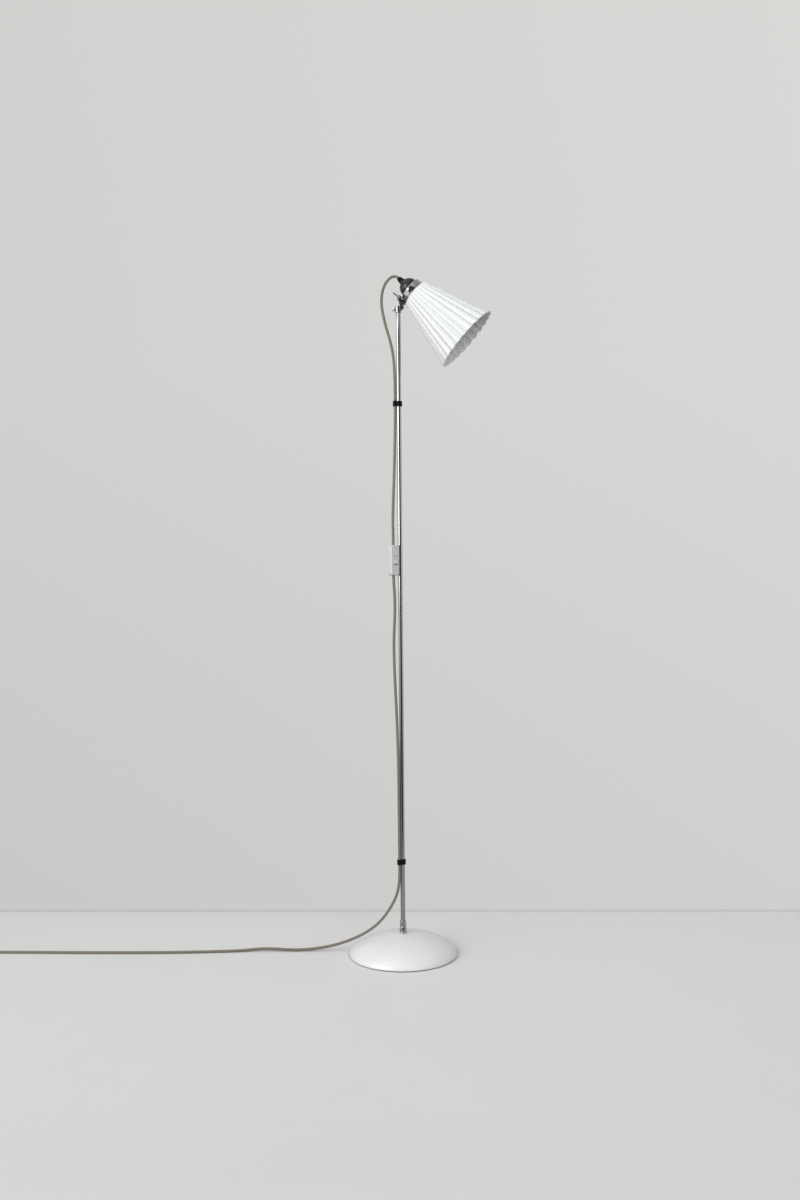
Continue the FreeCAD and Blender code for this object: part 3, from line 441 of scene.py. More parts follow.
phenolic = finish_material("black_phenolic", (0.009, 0.009, 0.010), (0.018, 0.017, 0.018),
                           patches=(80.0, 0.6), gloss=(0.26, 0.1), relief=(600.0, 0.00005),
                           Specular_IOR_Level=0.35)
rubber = finish_material("black_rubber", (0.003, 0.003, 0.003), (0.007, 0.007, 0.007),
                         patches=(200.0, 0.7), gloss=(0.6, 0.1), relief=(900.0, 0.00005),
                         Specular_IOR_Level=0.12)
white_plastic = finish_material("white_plastic", (0.64, 0.64, 0.635), (0.62, 0.62, 0.61),
                                patches=(40.0, 0.5), gloss=(0.42, 0.03), relief=(900.0, 0.00001),
                                Coat_Weight=0.1, Coat_Roughness=0.3)
brass = finish_material("brass", (0.72, 0.53, 0.26), (0.5, 0.35, 0.17), patches=(120.0, 0.6),
                        gloss=(0.3, 0.15), relief=(900.0, 0.00005), Metallic=1.0)
ceramic = finish_material("unglazed_ceramic", (0.78, 0.76, 0.72), (0.70, 0.68, 0.64),
                          patches=(150.0, 0.6), gloss=(0.6, 0.12), relief=(900.0, 0.0001))
bulb_metal = finish_material("bulb_cap_metal", (0.66, 0.65, 0.62), (0.5, 0.49, 0.46),
                             patches=(120.0, 0.6), gloss=(0.32, 0.15), relief=(900.0, 0.00005),
                             Metallic=1.0)
frosted_glass = finish_material("frosted_glass", (0.86, 0.86, 0.85), (0.82, 0.82, 0.81),
                                patches=(60.0, 0.5), gloss=(0.42, 0.08), relief=(1500.0, 0.00005),
                                Coat_Weight=0.2)
fibre = finish_material("fibre_washer", (0.03, 0.028, 0.027), (0.05, 0.047, 0.045),
                        patches=(400.0, 0.7), gloss=(0.75, 0.1), relief=(1500.0, 0.0002))
braided = effect_material(
    "braided_cotton", braid, "UV",
    {"Light thread": (0.27, 0.24, 0.19, 1), "Dark thread": (0.085, 0.072, 0.053, 1),
     "Strands": 12.0, "Lay length": 0.030, "Relief": 0.0005},
    {"Roughness": 0.82, "Sheen_Weight": 0.25, "Sheen_Roughness": 0.5})

# ---- shape building --------------------------------------------------------------------------
def turned(profile, steps):
    """Solid made by turning a profile of (radius, height) points about Z."""
    bm = bmesh.new()
    points = [bm.verts.new((radius, 0, height)) for radius, height in profile]
    edges = [bm.edges.new(pair) for pair in zip(points, points[1:])]
    if profile[0][0] > 0 or profile[-1][0] > 0:
        edges.append(bm.edges.new((points[-1], points[0])))
    bmesh.ops.spin(bm, geom=points + edges, cent=(0, 0, 0), axis=(0, 0, 1),
                   angle=math.tau, steps=steps, use_merge=True)
    bmesh.ops.remove_doubles(bm, verts=bm.verts, dist=0.001)
    bmesh.ops.recalc_face_normals(bm, faces=bm.faces)
    return bm


def tube(inner, outer, low, high, steps):
    """Tube about Z, or a disc where its inner radius is 0."""
    return turned([(inner, low), (outer, low), (outer, high), (inner, high)], steps)


def arc_points(centre, radius, first, last, count):
    """Points of a profile's arc, between two angles from the radius axis."""
    points = []
    for step in range(count + 1):
        angle = math.radians(first + (last - first) * step / count)
        points.append((centre[0] + radius * math.cos(angle),
                       centre[1] + radius * math.sin(angle)))
    return points


def rod_shape(radius, low, high, sides=48):
    bm = bmesh.new()
    bmesh.ops.create_cone(bm, cap_ends=True, segments=sides, radius1=radius, radius2=radius,
                          depth=high - low)
    bmesh.ops.translate(bm, verts=bm.verts, vec=(0, 0, (low + high) / 2))
    return bm


def cross_rod(radius, x, z, low, high):
    """Cylinder along Y, through (x, z)."""
    return moved(rod_shape(radius, low, high), shift(x, 0, z) @ rotation(-90, "X"))


def block(low, high):
    bm = bmesh.new()
    bmesh.ops.create_cube(bm, size=1)
    size = [b - a for a, b in zip(low, high)]
    middle = [(a + b) / 2 for a, b in zip(low, high)]
    bmesh.ops.scale(bm, verts=bm.verts, vec=size)
    bmesh.ops.translate(bm, verts=bm.verts, vec=middle)
    return bm


def plate(outline, low, high):
    """Flat plate in the XZ plane between two values of y."""
    bm = bmesh.new()
    face = bm.faces.new([bm.verts.new((x, low, z)) for x, z in outline])
    grown = bmesh.ops.extrude_face_region(bm, geom=[face])["geom"]
    bmesh.ops.translate(bm, verts=[item for item in grown if isinstance(item, bmesh.types.BMVert)],
                        vec=(0, high - low, 0))
    bmesh.ops.recalc_face_normals(bm, faces=bm.faces)
    return bm


def bar(first, second, low, high):
    """Bar with round ends in the XZ plane: each end is (x, z, radius)."""
    bm = joined(*[cross_rod(radius, x, z, low, high) for x, z, radius in (first, second)])
    hull = bmesh.ops.convex_hull(bm, input=bm.verts)
    bmesh.ops.delete(bm, geom=list(set(hull["geom_interior"] + hull["geom_unused"])),
                     context="VERTS")
    return bm


def moved(bm, matrix):
    bmesh.ops.transform(bm, matrix=matrix, verts=bm.verts)
    return bm


def as_mesh(bm, name):
    mesh = bpy.data.meshes.new(name)
    bm.to_mesh(mesh)
    bm.free()
    return mesh


def joined(*parts):
    whole = bmesh.new()
    for part in parts:
        mesh = as_mesh(part, "part")
        whole.from_mesh(mesh)
        bpy.data.meshes.remove(mesh)
    return whole


def edges_along(bm, axis, length):
    """Edges that run along an axis (0, 1 or 2) for more than the length."""
    return [edge for edge in bm.edges
            if abs(edge.verts[0].co[axis] - edge.verts[1].co[axis]) > length]


def end_edges(bm, axis):
    """Edges between the sides and the two ends that are square to an axis."""
    found = []
    for edge in bm.edges:
        facing = [abs(face.normal[axis]) for face in edge.link_faces]
        if len(facing) == 2 and max(facing) > 0.9 and min(facing) < 0.1:
            found.append(edge)
    return found


def rounded(bm, width, segments=2, sharper_than=25, edges=None):
    """Rounds the stated edges, or those where faces meet at more than an angle."""
    if edges is None:
        edges = [edge for edge in bm.edges if len(edge.link_faces) == 2
                 and edge.calc_face_angle(0) > math.radians(sharper_than)]
    bmesh.ops.bevel(bm, geom=edges, offset=width, offset_type="OFFSET", segments=segments,
                    profile=0.5, affect="EDGES", clamp_overlap=True, material=-1)
    return bm


def add_modifiers(shown, modifiers):
    for kind, settings in modifiers:
        modifier = shown.modifiers.new(kind, kind)
        for key, value in settings.items():
            setattr(modifier, key, value)


def through(bm, *modifiers):
    """The shape after modifiers, each given as (kind, settings)."""
    mesh = as_mesh(bm, "work")
    work = linked("work", mesh)
    add_modifiers(work, modifiers)
    result = evaluated_mesh(work)
    out = bmesh.new()
    out.from_mesh(result)
    bpy.data.objects.remove(work)
    bpy.data.meshes.remove(mesh)
    bpy.data.meshes.remove(result)
    return out


def cut_away(bm, *cutters):
    """Takes each cutter out of the shape."""
    for cutter in cutters:
        mesh = as_mesh(cutter, "cutter")
        tool = linked("cutter", mesh)
        bm = through(bm, ("BOOLEAN", {"object": tool, "operation": "DIFFERENCE",
                                      "solver": "EXACT"}))
        bpy.data.objects.remove(tool)
        bpy.data.meshes.remove(mesh)
    return bm


def cast(bm, grain, softness=4):
    """One skin over overlapping shapes, with the soft corners of a casting."""
    return through(bm, ("REMESH", {"mode": "VOXEL", "voxel_size": grain}),
                   ("SMOOTH", {"factor": 0.5, "iterations": softness}))


def place_piece(bm, name, material, body, stands_for, place=Matrix(), smooth_angle=35,
                modifiers=()):
    """Makes the shape a piece of the lamp, in metres, riding on a body."""
    moved(bm, place @ Matrix.Scale(MM, 4))
    for face in bm.faces:
        face.smooth = True
    mesh = as_mesh(bm, name)
    mesh.materials.append(material)
    mesh.set_sharp_from_angle(angle=math.radians(smooth_angle))
    piece = linked(name, mesh)
    add_modifiers(piece, modifiers)
    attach(piece, body)
    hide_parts(*stands_for)
    return piece


# ---- base and rod ----------------------------------------------------------------------------
BASE_RADIUS = 116.0
BASE_LOW = 2.0
DOME_HEIGHT = 43.5
DOME_POWER = 1.75
COVER_WALL = 2.0
DOME_TOP = BASE_LOW + DOME_HEIGHT
FELT_RADIUS = 112.0
ROD_RADIUS = 5.0
ROD_BORE = 3.8
ROD_LOW = 14.5
ROD_TOP = 1385.0
ROD_HOLE = 5.05
SCREW_RADIUS = 2.0
SCREW_HOLE = 2.05
GRUB_Z = DOME_TOP + 7.0


def dome_profile(radius, height, hole, count):
    """Flattened half ellipse from the rim up to the hole for the rod."""
    power = 2 / DOME_POWER
    last = math.acos((hole / radius) ** (1 / power))
    profile = []
    for step in range(count + 1):
        angle = last * step / count
        profile.append((radius * math.cos(angle) ** power,
                        BASE_LOW + height * math.sin(angle) ** power))
    return profile


def base_dome():
    outside = dome_profile(BASE_RADIUS, DOME_HEIGHT, ROD_HOLE, 40)
    inside = dome_profile(BASE_RADIUS - COVER_WALL, DOME_HEIGHT - COVER_WALL, ROD_HOLE, 30)
    bm = rounded(turned(outside + inside[::-1], 160), 0.6, 3, 60)
    place_piece(bm, "base_dome", enamel, "stand", ["base_cover"])


def felt_disc():
    bm = rounded(tube(0, FELT_RADIUS, 0, BASE_LOW, 120), 0.5, 2, 60)
    place_piece(bm, "felt_disc", felt, "stand", ["base_felt"])


def rod_foot():
    """Stepped socket on the dome, with a hole for its grub screw."""
    profile = [(radius, DOME_TOP + height) for radius, height in (
        (ROD_HOLE, 0), (7.8, 0), (7.8, 2.6), (7.5, 3.2), (7.2, 13.0), (6.45, 13.6), (6.4, 24.2),
        (6.8, 24.8), (6.8, 25.6), (6.4, 26.0), (ROD_HOLE, 26.0))]
    bm = rounded(turned(profile, 96), 0.18, 2, 20)
    hole = moved(rod_shape(SCREW_HOLE, 0, 9, 32), shift(4.0, 0, GRUB_Z) @ rotation(90, "Y"))
    place_piece(cut_away(bm, hole), "rod_foot", chrome, "stand", ["rod_socket"])


def grub_screw():
    """Headless screw with a hexagon socket, against the rod."""
    bm = cut_away(rod_shape(SCREW_RADIUS, 0, 2.0, 32), rod_shape(1.1, 0.8, 3.0, 6))
    place_piece(rounded(bm, 0.12), "grub_screw", zinc, "stand", ["socket_grub_screw"],
                shift(ROD_HOLE * MM, 0, GRUB_Z * MM) @ rotation(90, "Y"))


def rod_tube():
    bm = tube(ROD_BORE, ROD_RADIUS, ROD_LOW, ROD_TOP, 96)
    bmesh.ops.subdivide_edges(bm, edges=edges_along(bm, 2, 1000), cuts=20, use_grid_fill=True)
    rounded(bm, 0.3, 2, 60)
    place_piece(bm, "rod_tube", chrome, "stand", ["rod"])


base_dome()
felt_disc()
rod_foot()
grub_screw()
rod_tube()


# ---- swivel knuckle and thumb screw ----------------------------------------------------------
PIVOT_X = 2.8
PIVOT_Z = 1404.5
KNUCKLE_HALF = 4.5
EYE_RADIUS = 5.0
BOLT_RADIUS = 2.5
BOLT_HOLE = 2.55
THUMB_Z = ROD_TOP - 3.6


def knuckle():
    """Casting from the end of the rod up to the eye for the tilt bolt."""
    knee = (8.2, ROD_TOP + 0.5, 4.5)
    root = (0.0, ROD_TOP - 5.0, 4.5)
    thumb_way = shift(0, 0, THUMB_Z) @ rotation(-90, "Y")
    bm = joined(rod_shape(6.2, ROD_TOP - 11.0, ROD_TOP + 3.0, 64),
                moved(rod_shape(4.0, 0, 7.1), thumb_way),
                bar((PIVOT_X, PIVOT_Z, 3.3), knee, -KNUCKLE_HALF, KNUCKLE_HALF),
                bar(knee, root, -KNUCKLE_HALF, KNUCKLE_HALF),
                cross_rod(EYE_RADIUS, PIVOT_X, PIVOT_Z, -KNUCKLE_HALF, KNUCKLE_HALF))
    bm = cut_away(cast(bm, 0.3), rod_shape(ROD_HOLE, ROD_TOP - 12.0, ROD_TOP + 0.05, 64),
                  moved(rod_shape(SCREW_HOLE, 0, 8.0, 32), thumb_way),
                  cross_rod(BOLT_HOLE, PIVOT_X, PIVOT_Z, -6, 6))
    place_piece(bm, "knuckle", cast_zinc, "knuckle", ["swivel_knuckle"], HEAD_SWING,
                smooth_angle=50)


def thumb_knob():
    """Knurled head on a plain shank, along -X."""
    teeth = 36
    knurl = 0.965
    profile = [(0, 7.4), (3.3, 7.4), (4.35, 8.1), (4.35, 12.3), (3.5, 12.9), (1.8, 13.15),
               (0, 13.2)]
    head = turned(profile, 2 * teeth)
    for vert in head.verts:
        reach = math.hypot(vert.co.x, vert.co.y)
        step = round(math.atan2(vert.co.y, vert.co.x) / math.tau * 2 * teeth)
        if reach > 4.2 and step % 2:
            vert.co.x *= knurl
            vert.co.y *= knurl
    shank = rounded(rod_shape(SCREW_RADIUS, 5.1, 7.4, 32), 0.1, 2, 60)
    place_piece(joined(head, shank), "thumb_knob", satin_chrome, "thumb_screw",
                ["thumb_screw"], HEAD_SWING @ shift(0, 0, THUMB_Z * MM) @ rotation(-90, "Y"),
                smooth_angle=40)


knuckle()
thumb_knob()


# ---- tilt joint ------------------------------------------------------------------------------
PIVOT_RADIUS = 31.3
PIVOT_SETBACK = 7.95
HEAD_ANGLE = 132.5
HEAD_PLACE = (HEAD_SWING @ shift(PIVOT_X * MM, 0, PIVOT_Z * MM) @ rotation(HEAD_ANGLE, "Y")
              @ shift(-PIVOT_RADIUS * MM, 0, PIVOT_SETBACK * MM))
EAR_INSIDE = 5.25
EAR_OUTSIDE = 6.75
NUT_SEAT = 7.75
WING_ANGLE = 99
RING_HOLE = 19.6
RING_TOP = 6.7
RING_BOTTOM = 8.7


def on_bolt(distance):
    """Place on the tilt bolt, turned along it, at a distance from the middle of the head."""
    return (HEAD_PLACE @ shift(PIVOT_RADIUS * MM, -distance * MM, -PIVOT_SETBACK * MM)
            @ rotation(90, "X"))


def bracket():
    """Ring between collar and shade, with two ears for the tilt bolt."""
    parts = [tube(RING_HOLE, 27.0, RING_TOP, RING_BOTTOM, 96),
             block((21.5, -EAR_OUTSIDE, RING_TOP), (PIVOT_RADIUS, EAR_OUTSIDE, RING_BOTTOM))]
    inner, outer = PIVOT_RADIUS - EYE_RADIUS, PIVOT_RADIUS + EYE_RADIUS
    outline = [(inner, RING_BOTTOM), (PIVOT_RADIUS + 2.0, RING_BOTTOM), (outer, -PIVOT_SETBACK),
               (inner, -PIVOT_SETBACK)]
    for low, high in ((-EAR_OUTSIDE, -EAR_INSIDE), (EAR_INSIDE, EAR_OUTSIDE)):
        parts.append(plate(outline, low, high))
        parts.append(cross_rod(EYE_RADIUS, PIVOT_RADIUS, -PIVOT_SETBACK, low, high))
    bm = cast(joined(*parts), 0.25, 2)
    bm = cut_away(bm, cross_rod(BOLT_HOLE, PIVOT_RADIUS, -PIVOT_SETBACK, -8, 8))
    place_piece(bm, "bracket", cast_zinc, "head", ["head_bracket"], HEAD_PLACE,
                smooth_angle=50)


def tilt_bolt():
    """Hexagon head on the far side, threaded end through the wing nut on the near side."""
    end = 15.05
    pitch = 0.8
    thread = []
    place = end - pitch / 2
    while place > 5.0:
        thread += [(BOLT_RADIUS, place), (2.22, place - pitch / 2)]
        place -= pitch
    profile = ([(0, -EAR_OUTSIDE), (BOLT_RADIUS, -EAR_OUTSIDE)] + thread[::-1]
               + [(2.1, end), (0, end)])
    head = rounded(rod_shape(4.62, -EAR_OUTSIDE - 3.5, -EAR_OUTSIDE, 6), 0.35, 2, 50)
    place_piece(joined(turned(profile, 40), head), "tilt_bolt", zinc, "head",
                ["pivot_bolt"], on_bolt(0))


def wing_nut():
    parts = [turned([(BOLT_HOLE, 0), (4.6, 0), (4.6, 1.2), (3.9, 6.0), (BOLT_HOLE, 6.0)], 64)]
    for side in (1, -1):
        outline = [(side * x, z) for x, z in (
            (3.2, 1.2), (3.2, 4.8), (8.5, 8.6), (12.0, 11.0), (14.0, 10.9), (15.4, 9.6),
            (15.9, 7.6), (15.3, 5.7), (13.6, 4.6), (11.5, 4.2), (8.5, 3.0))]
        parts.append(plate(outline, -1.15, 1.15))
    place_piece(cast(joined(*parts), 0.25, 5), "wing_nut_piece", cast_zinc, "wing_nut",
                ["wing_nut"], on_bolt(NUT_SEAT) @ rotation(WING_ANGLE, "Z"), smooth_angle=50)


bracket()
tilt_bolt()
wing_nut()


# ---- lampholder, collar and bulb -------------------------------------------------------------
CAP_SEAT = -7.4
CAP_RADIUS = 20.5
COLLAR_HOLE = 18.1
CORD_HOLE = 3.1


def collar():
    """Chrome cup between the lampholder's cap and the ring of the bracket."""
    outer, inner = 25.75, 24.55
    profile = [(COLLAR_HOLE, CAP_SEAT), (20.9, CAP_SEAT), (25.3, -5.0), (outer, -4.5),
               (outer, RING_TOP), (inner, RING_TOP), (inner, -3.4), (20.9, -5.9),
               (COLLAR_HOLE, -5.9)]
    bm = rounded(turned(profile, 128), 0.3, 3, 20)
    place_piece(bm, "collar", chrome, "head", ["shade_collar"], HEAD_PLACE)


def holder_cap():
    dome = arc_points((0, CAP_SEAT), CAP_RADIUS, 0, -68.5, 16)
    profile = ([(COLLAR_HOLE, CAP_SEAT), (CAP_RADIUS, CAP_SEAT)] + dome[1:]
               + [(7.5, -28.0), (5.25, -28.0), (5.25, -23.8), (13.3, -16.6),
                  (COLLAR_HOLE, -11.8)])
    bm = rounded(turned(profile, 96), 0.35, 3, 25)
    place_piece(bm, "holder_cap", phenolic, "head", ["lampholder_cap"],
                HEAD_PLACE)


def grip():
    """Tapered cord grip with shallow ribs."""
    end = -39.0
    profile = [(CORD_HOLE, -24.1), (5.1, -24.1), (5.1, -28.1), (6.6, -28.1), (6.6, -30.1)]
    for rib in range(4):
        place = -31.3 - rib * 1.9
        radius = 6.25 - rib * 0.42
        profile += [(radius, place), (radius - 0.35, place - 0.5), (radius - 0.35, place - 1.1),
                    (radius - 0.2, place - 1.5)]
    profile += [(4.3, end + 0.4), (3.9, end), (CORD_HOLE, end)]
    bm = rounded(turned(profile, 64), 0.15, 2, 25)
    place_piece(bm, "grip", rubber, "head", ["cord_grip"], HEAD_PLACE)


def holder_sleeve():
    """Threaded sleeve of the lampholder, with its flange and its inner ledge."""
    bore, core, crest = 15.2, 19.0, 19.5
    thread = []
    for turn in range(7):
        place = -2.0 + turn * 2.6
        thread += [(core, place + 0.4), (crest, place + 1.0), (crest, place + 1.7),
                   (core, place + 2.3)]
    flange = [(18.0, -5.9), (20.8, -5.9), (20.8, -4.4), (core, -4.4)]
    ledge = [(bore, -1.5), (12.5, -1.5), (12.5, -3.0), (bore, -3.0)]
    profile = ([(bore, -11.5), (18.0, -11.5)] + flange + thread
               + [(core, 20.0), (17.0, 20.0), (17.0, 33.0), (bore, 33.0)] + ledge)
    bm = rounded(turned(profile, 96), 0.15, 2, 30)
    place_piece(bm, "holder_sleeve", phenolic, "head", ["lampholder_body"],
                HEAD_PLACE)


def ring_nut():
    """Nut that clamps the shade, with flutes all round."""
    steps = 72
    bm = tube(RING_HOLE, 24.4, 11.7, 17.7, steps)
    flutes = []
    for face in bm.faces:
        middle = face.calc_center_median()
        step = int(math.atan2(middle.y, middle.x) / math.tau * steps + steps)
        if abs(face.normal.z) < 0.1 and middle.xy.length > 22 and step % 4 == 0:
            flutes.append(face)
    bmesh.ops.inset_individual(bm, faces=flutes, thickness=0.4, depth=-0.8)
    rounded(bm, 0.2, 2, 50)
    place_piece(bm, "ring_nut", phenolic, "head", ["shade_nut"], HEAD_PLACE)


def bulb_globe():
    """Frosted globe with a neck."""
    centre, radius, wall = 76.0, 30.0, 1.0
    globe = arc_points((0, centre), radius, 90, -46, 26)
    outside = [(0.0, centre + radius)] + globe[1:] + [(16.6, 44.0), (14.6, 37.5), (13.6, 33.0),
                                                      (12.05, 26.5), (12.05, 22.2)]
    inside = [(max(reach - wall, 0.0), height) for reach, height in outside]
    inside[0] = (0.0, centre + radius - wall)
    bm = turned(outside + inside[::-1], 64)
    place_piece(bm, "bulb_globe", frosted_glass, "head", ["bulb_glass"],
                HEAD_PLACE, smooth_angle=60)


def bulb_screw_cap():
    core = 12.55
    thread = []
    for turn in range(5):
        place = 7.0 + turn * 3.4
        thread += [(core, place), (13.05, place + 0.9), (13.1, place + 1.6), (core, place + 2.5)]
    profile = ([(0, 1.0), (3.4, 1.0), (4.0, 1.6), (4.0, 3.0), (9.0, 3.4), (12.6, 5.4)] + thread
               + [(12.6, 24.6), (13.1, 25.0), (12.1, 25.0), (12.1, 6.0), (0, 6.0)])
    place_piece(turned(profile, 64), "bulb_screw_cap", bulb_metal, "head",
                ["bulb_cap"], HEAD_PLACE)


collar()
holder_cap()
grip()
holder_sleeve()
ring_nut()
bulb_globe()
bulb_screw_cap()


# ---- shade -----------------------------------------------------------------------------------
PLEATS = 24
POINTS_PER_PLEAT = 12
PLEAT_ROUNDNESS = 0.8
CONE_ROWS = 14
SHADE_WALL = 3.1
SHADE_HOLE = 20.0
RIM_EDGE = 1.2
RIM_RADIUS = 77.0
RIM_PLEAT = 5.6
NECK_RADIUS = 33.3
NECK_PLEAT = 2.3
NECK_T = 13.0
RIM_T = 160.0
RIM_SCALLOP = 2.0
SCALLOP_START = 142.0


def shade_rings():
    """Radius, depth of the pleats and height of each ring, from the hole out to the rim and
    back along the inside."""
    slope = (RIM_RADIUS - NECK_RADIUS) / (RIM_T - NECK_T)
    cone = []
    for row in range(CONE_ROWS + 1):
        share = row / CONE_ROWS
        cone.append((NECK_RADIUS + (RIM_RADIUS - NECK_RADIUS) * share,
                     NECK_PLEAT + (RIM_PLEAT - NECK_PLEAT) * share,
                     NECK_T + (RIM_T - NECK_T) * share))
    cone.insert(-1, (RIM_RADIUS - slope * RIM_EDGE, RIM_PLEAT, RIM_T - RIM_EDGE))
    outside = [(SHADE_HOLE, 0.0, RING_BOTTOM), (24.5, 0.0, RING_BOTTOM),
               (26.8, 0.3, RING_BOTTOM + 0.1), (28.8, 0.8, RING_BOTTOM + 0.6),
               (30.9, 1.3, RING_BOTTOM + 1.7), (32.4, 1.6, RING_BOTTOM + 3.0)] + cone
    inside = [(radius - SHADE_WALL, depth, height) for radius, depth, height in reversed(cone)]
    inside += [(28.4, 1.2, RING_BOTTOM + 3.4), (25.5, 0.5, RING_BOTTOM + 3.0),
               (SHADE_HOLE, 0.0, RING_BOTTOM + 3.0)]
    return outside + inside


def shade_point(angle, radius, depth, height):
    """Point on a ring of rounded pleats that meet in valleys, with the scallops of the rim."""
    bow = math.sin(math.pi * (angle / (math.tau / PLEATS) % 1.0))
    reach = radius - depth * (1.0 - bow ** PLEAT_ROUNDNESS)
    fall = RIM_SCALLOP * max(0.0, (height - SCALLOP_START) / (RIM_T - SCALLOP_START))
    return reach * math.cos(angle), reach * math.sin(angle), height - fall * (1.0 - bow)


def shade():
    """One closed skin, pulled from ring to ring."""
    bm = bmesh.new()
    ring = bmesh.ops.create_circle(bm, segments=PLEATS * POINTS_PER_PLEAT, radius=1.0)["verts"]
    edges = list({edge for vert in ring for edge in vert.link_edges})
    rings = shade_rings()
    for index, (radius, depth, height) in enumerate(rings + rings[:1]):
        if index:
            grown = bmesh.ops.extrude_edge_only(bm, edges=edges)["geom"]
            ring = [item for item in grown if isinstance(item, bmesh.types.BMVert)]
            edges = [item for item in grown if isinstance(item, bmesh.types.BMEdge)]
        for vert in ring:
            angle = math.atan2(vert.co.y, vert.co.x)
            vert.co = shade_point(angle, radius, depth, height)
    bmesh.ops.remove_doubles(bm, verts=bm.verts, dist=0.001)
    bmesh.ops.recalc_face_normals(bm, faces=bm.faces)
    place_piece(bm, "china_shade", china, "head", ["shade"], HEAD_PLACE,
                smooth_angle=180,
                modifiers=[("SUBSURF", {"levels": 1, "render_levels": 1})])


shade()


# ---- clips -----------------------------------------------------------------------------------
CLIP_HALF_HEIGHT = 5.5
CLIP_HALF_WAIST = 3.35


def clip(name, node_name, cord_place, height):
    """Rubber figure of eight round the rod and the cord."""
    low, high = height - CLIP_HALF_HEIGHT, height + CLIP_HALF_HEIGHT
    cord_x, cord_y = cord_place[0] / MM, cord_place[1] / MM
    waist = moved(block((0, -CLIP_HALF_WAIST, low),
                        (math.hypot(cord_x, cord_y), CLIP_HALF_WAIST, high)),
                  Matrix.Rotation(math.atan2(cord_y, cord_x), 4, "Z"))
    to_cord = shift(cord_x, cord_y, 0)
    bm = joined(rod_shape(7.0, low, high, 64), moved(rod_shape(5.05, low, high), to_cord), waist)
    bm = cut_away(cast(bm, 0.25, 5), rod_shape(ROD_HOLE, low - 1, high + 1, 64),
                  moved(rod_shape(CORD_HOLE, low - 1, high + 1), to_cord))
    place_piece(bm, name, rubber, "stand", [node_name], smooth_angle=50)


clip("upper_clip", "upper_cord_clip", rod_upper_route[0], 1179.0)
clip("lower_clip", "lower_cord_clip", rod_lower_route[-1], 198.0)


# ---- switch ----------------------------------------------------------------------------------
SWITCH_PLACE = (Matrix.Translation((Vector(rod_upper_route[-1]) + Vector(rod_lower_route[0])) / 2)
                @ rotation(37, "Z"))
SWITCH_HALF_WIDTH = 11.0
SWITCH_FRONT = 8.0
SWITCH_HALF_LENGTH = 32.25
SWITCH_WALL = 1.8
SHELL_GAP = 0.06
ROCKER_PIVOT = -4.5
ROCKER_LEAN = -6


def switch_block(less=0.0):
    """Plain block of the switch's size, less a wall on each side."""
    half = [size - less for size in (SWITCH_HALF_WIDTH, SWITCH_FRONT, SWITCH_HALF_LENGTH)]
    return block([-size for size in half], half)


def switch_shell(front):
    """Half of the switch: the front has the window of the rocker, the back two screw holes."""
    bm = switch_block()
    rounded(bm, 5.0, 8, edges=edges_along(bm, 1, SWITCH_FRONT))
    rounded(bm, 2.6, 6, edges=end_edges(bm, 1))
    side = 1 if front else -1
    geometry = bm.verts[:] + bm.edges[:] + bm.faces[:]
    bmesh.ops.bisect_plane(bm, geom=geometry, dist=0.0001, plane_co=(0, -SHELL_GAP * side, 0),
                           plane_no=(0, side, 0), clear_outer=True)
    rim = [edge for edge in bm.edges if edge.is_boundary]
    bmesh.ops.holes_fill(bm, edges=rim, sides=0)
    if front:
        window = block((-5.8, -12.0, -9.7), (5.8, -3.0, 9.7))
        openings = [rounded(window, 0.6, 2, edges=edges_along(window, 1, 4))]
    else:
        openings = [cross_rod(2.5, x, z, 6.4, 9.0) for x, z in ((7.4, 25.0), (-7.4, -25.0))]
    return cut_away(bm, switch_block(SWITCH_WALL), rod_shape(CORD_HOLE, -40, 40, 40), *openings)


def switch_rocker():
    """Hollowed rocker on its pins, pressed down at one end."""
    outline = [(-9.8, -8.6), (-9.3, -4.6), (-8.75, -1.8), (-8.6, 0.0), (-8.75, 1.8), (-9.3, 4.6),
               (-9.8, 8.6), (-4.5, 7.9), (-2.0, 2.6), (-2.0, -2.6), (-4.5, -7.9)]
    bm = moved(plate(outline, -5.5, 5.5), rotation(90, "Z"))
    moved(bm, Matrix.Scale(-1, 4, (1, 0, 0)))
    bmesh.ops.recalc_face_normals(bm, faces=bm.faces)
    rounded(bm, 0.35, 3, 28)
    pins = moved(rod_shape(1.2, -7.5, 7.5, 32), shift(0, ROCKER_PIVOT, 0) @ rotation(90, "Y"))
    return moved(joined(bm, pins), shift(0, ROCKER_PIVOT, 0) @ rotation(ROCKER_LEAN, "X")
                 @ shift(0, -ROCKER_PIVOT, 0))


def switch():
    pieces = []
    for name, bm, body, node_name in (
            ("switch_front", switch_shell(True), "stand", "switch_front_cover"),
            ("switch_rear", switch_shell(False), "stand", "switch_back"),
            ("rocker", switch_rocker(), "rocker", "switch_rocker")):
        pieces.append(place_piece(bm, name, white_plastic, body, [node_name],
                                  SWITCH_PLACE))
    return pieces


switch_pieces = switch()


# ---- plug ------------------------------------------------------------------------------------
PLUG_BORE = 3.05
PLUG_LOW = 14.0
PLUG_HIGH = 52.0
PIN_SPACING = 19.0


def strain_relief():
    """Ribbed sleeve that widens towards the plug."""
    profile = [(PLUG_BORE, 0), (4.0, 0)]
    for rib in range(5):
        start = 0.6 + rib * 2.6
        radius = 4.2 + rib * 0.22
        profile += [(radius, start), (radius, start + 1.6), (radius - 0.7, start + 1.9),
                    (radius - 0.7, start + 2.4)]
    profile += [(5.2, 13.8), (5.2, PLUG_LOW), (PLUG_BORE, PLUG_LOW)]
    return rounded(turned(profile, 48), 0.12, 2, 30)


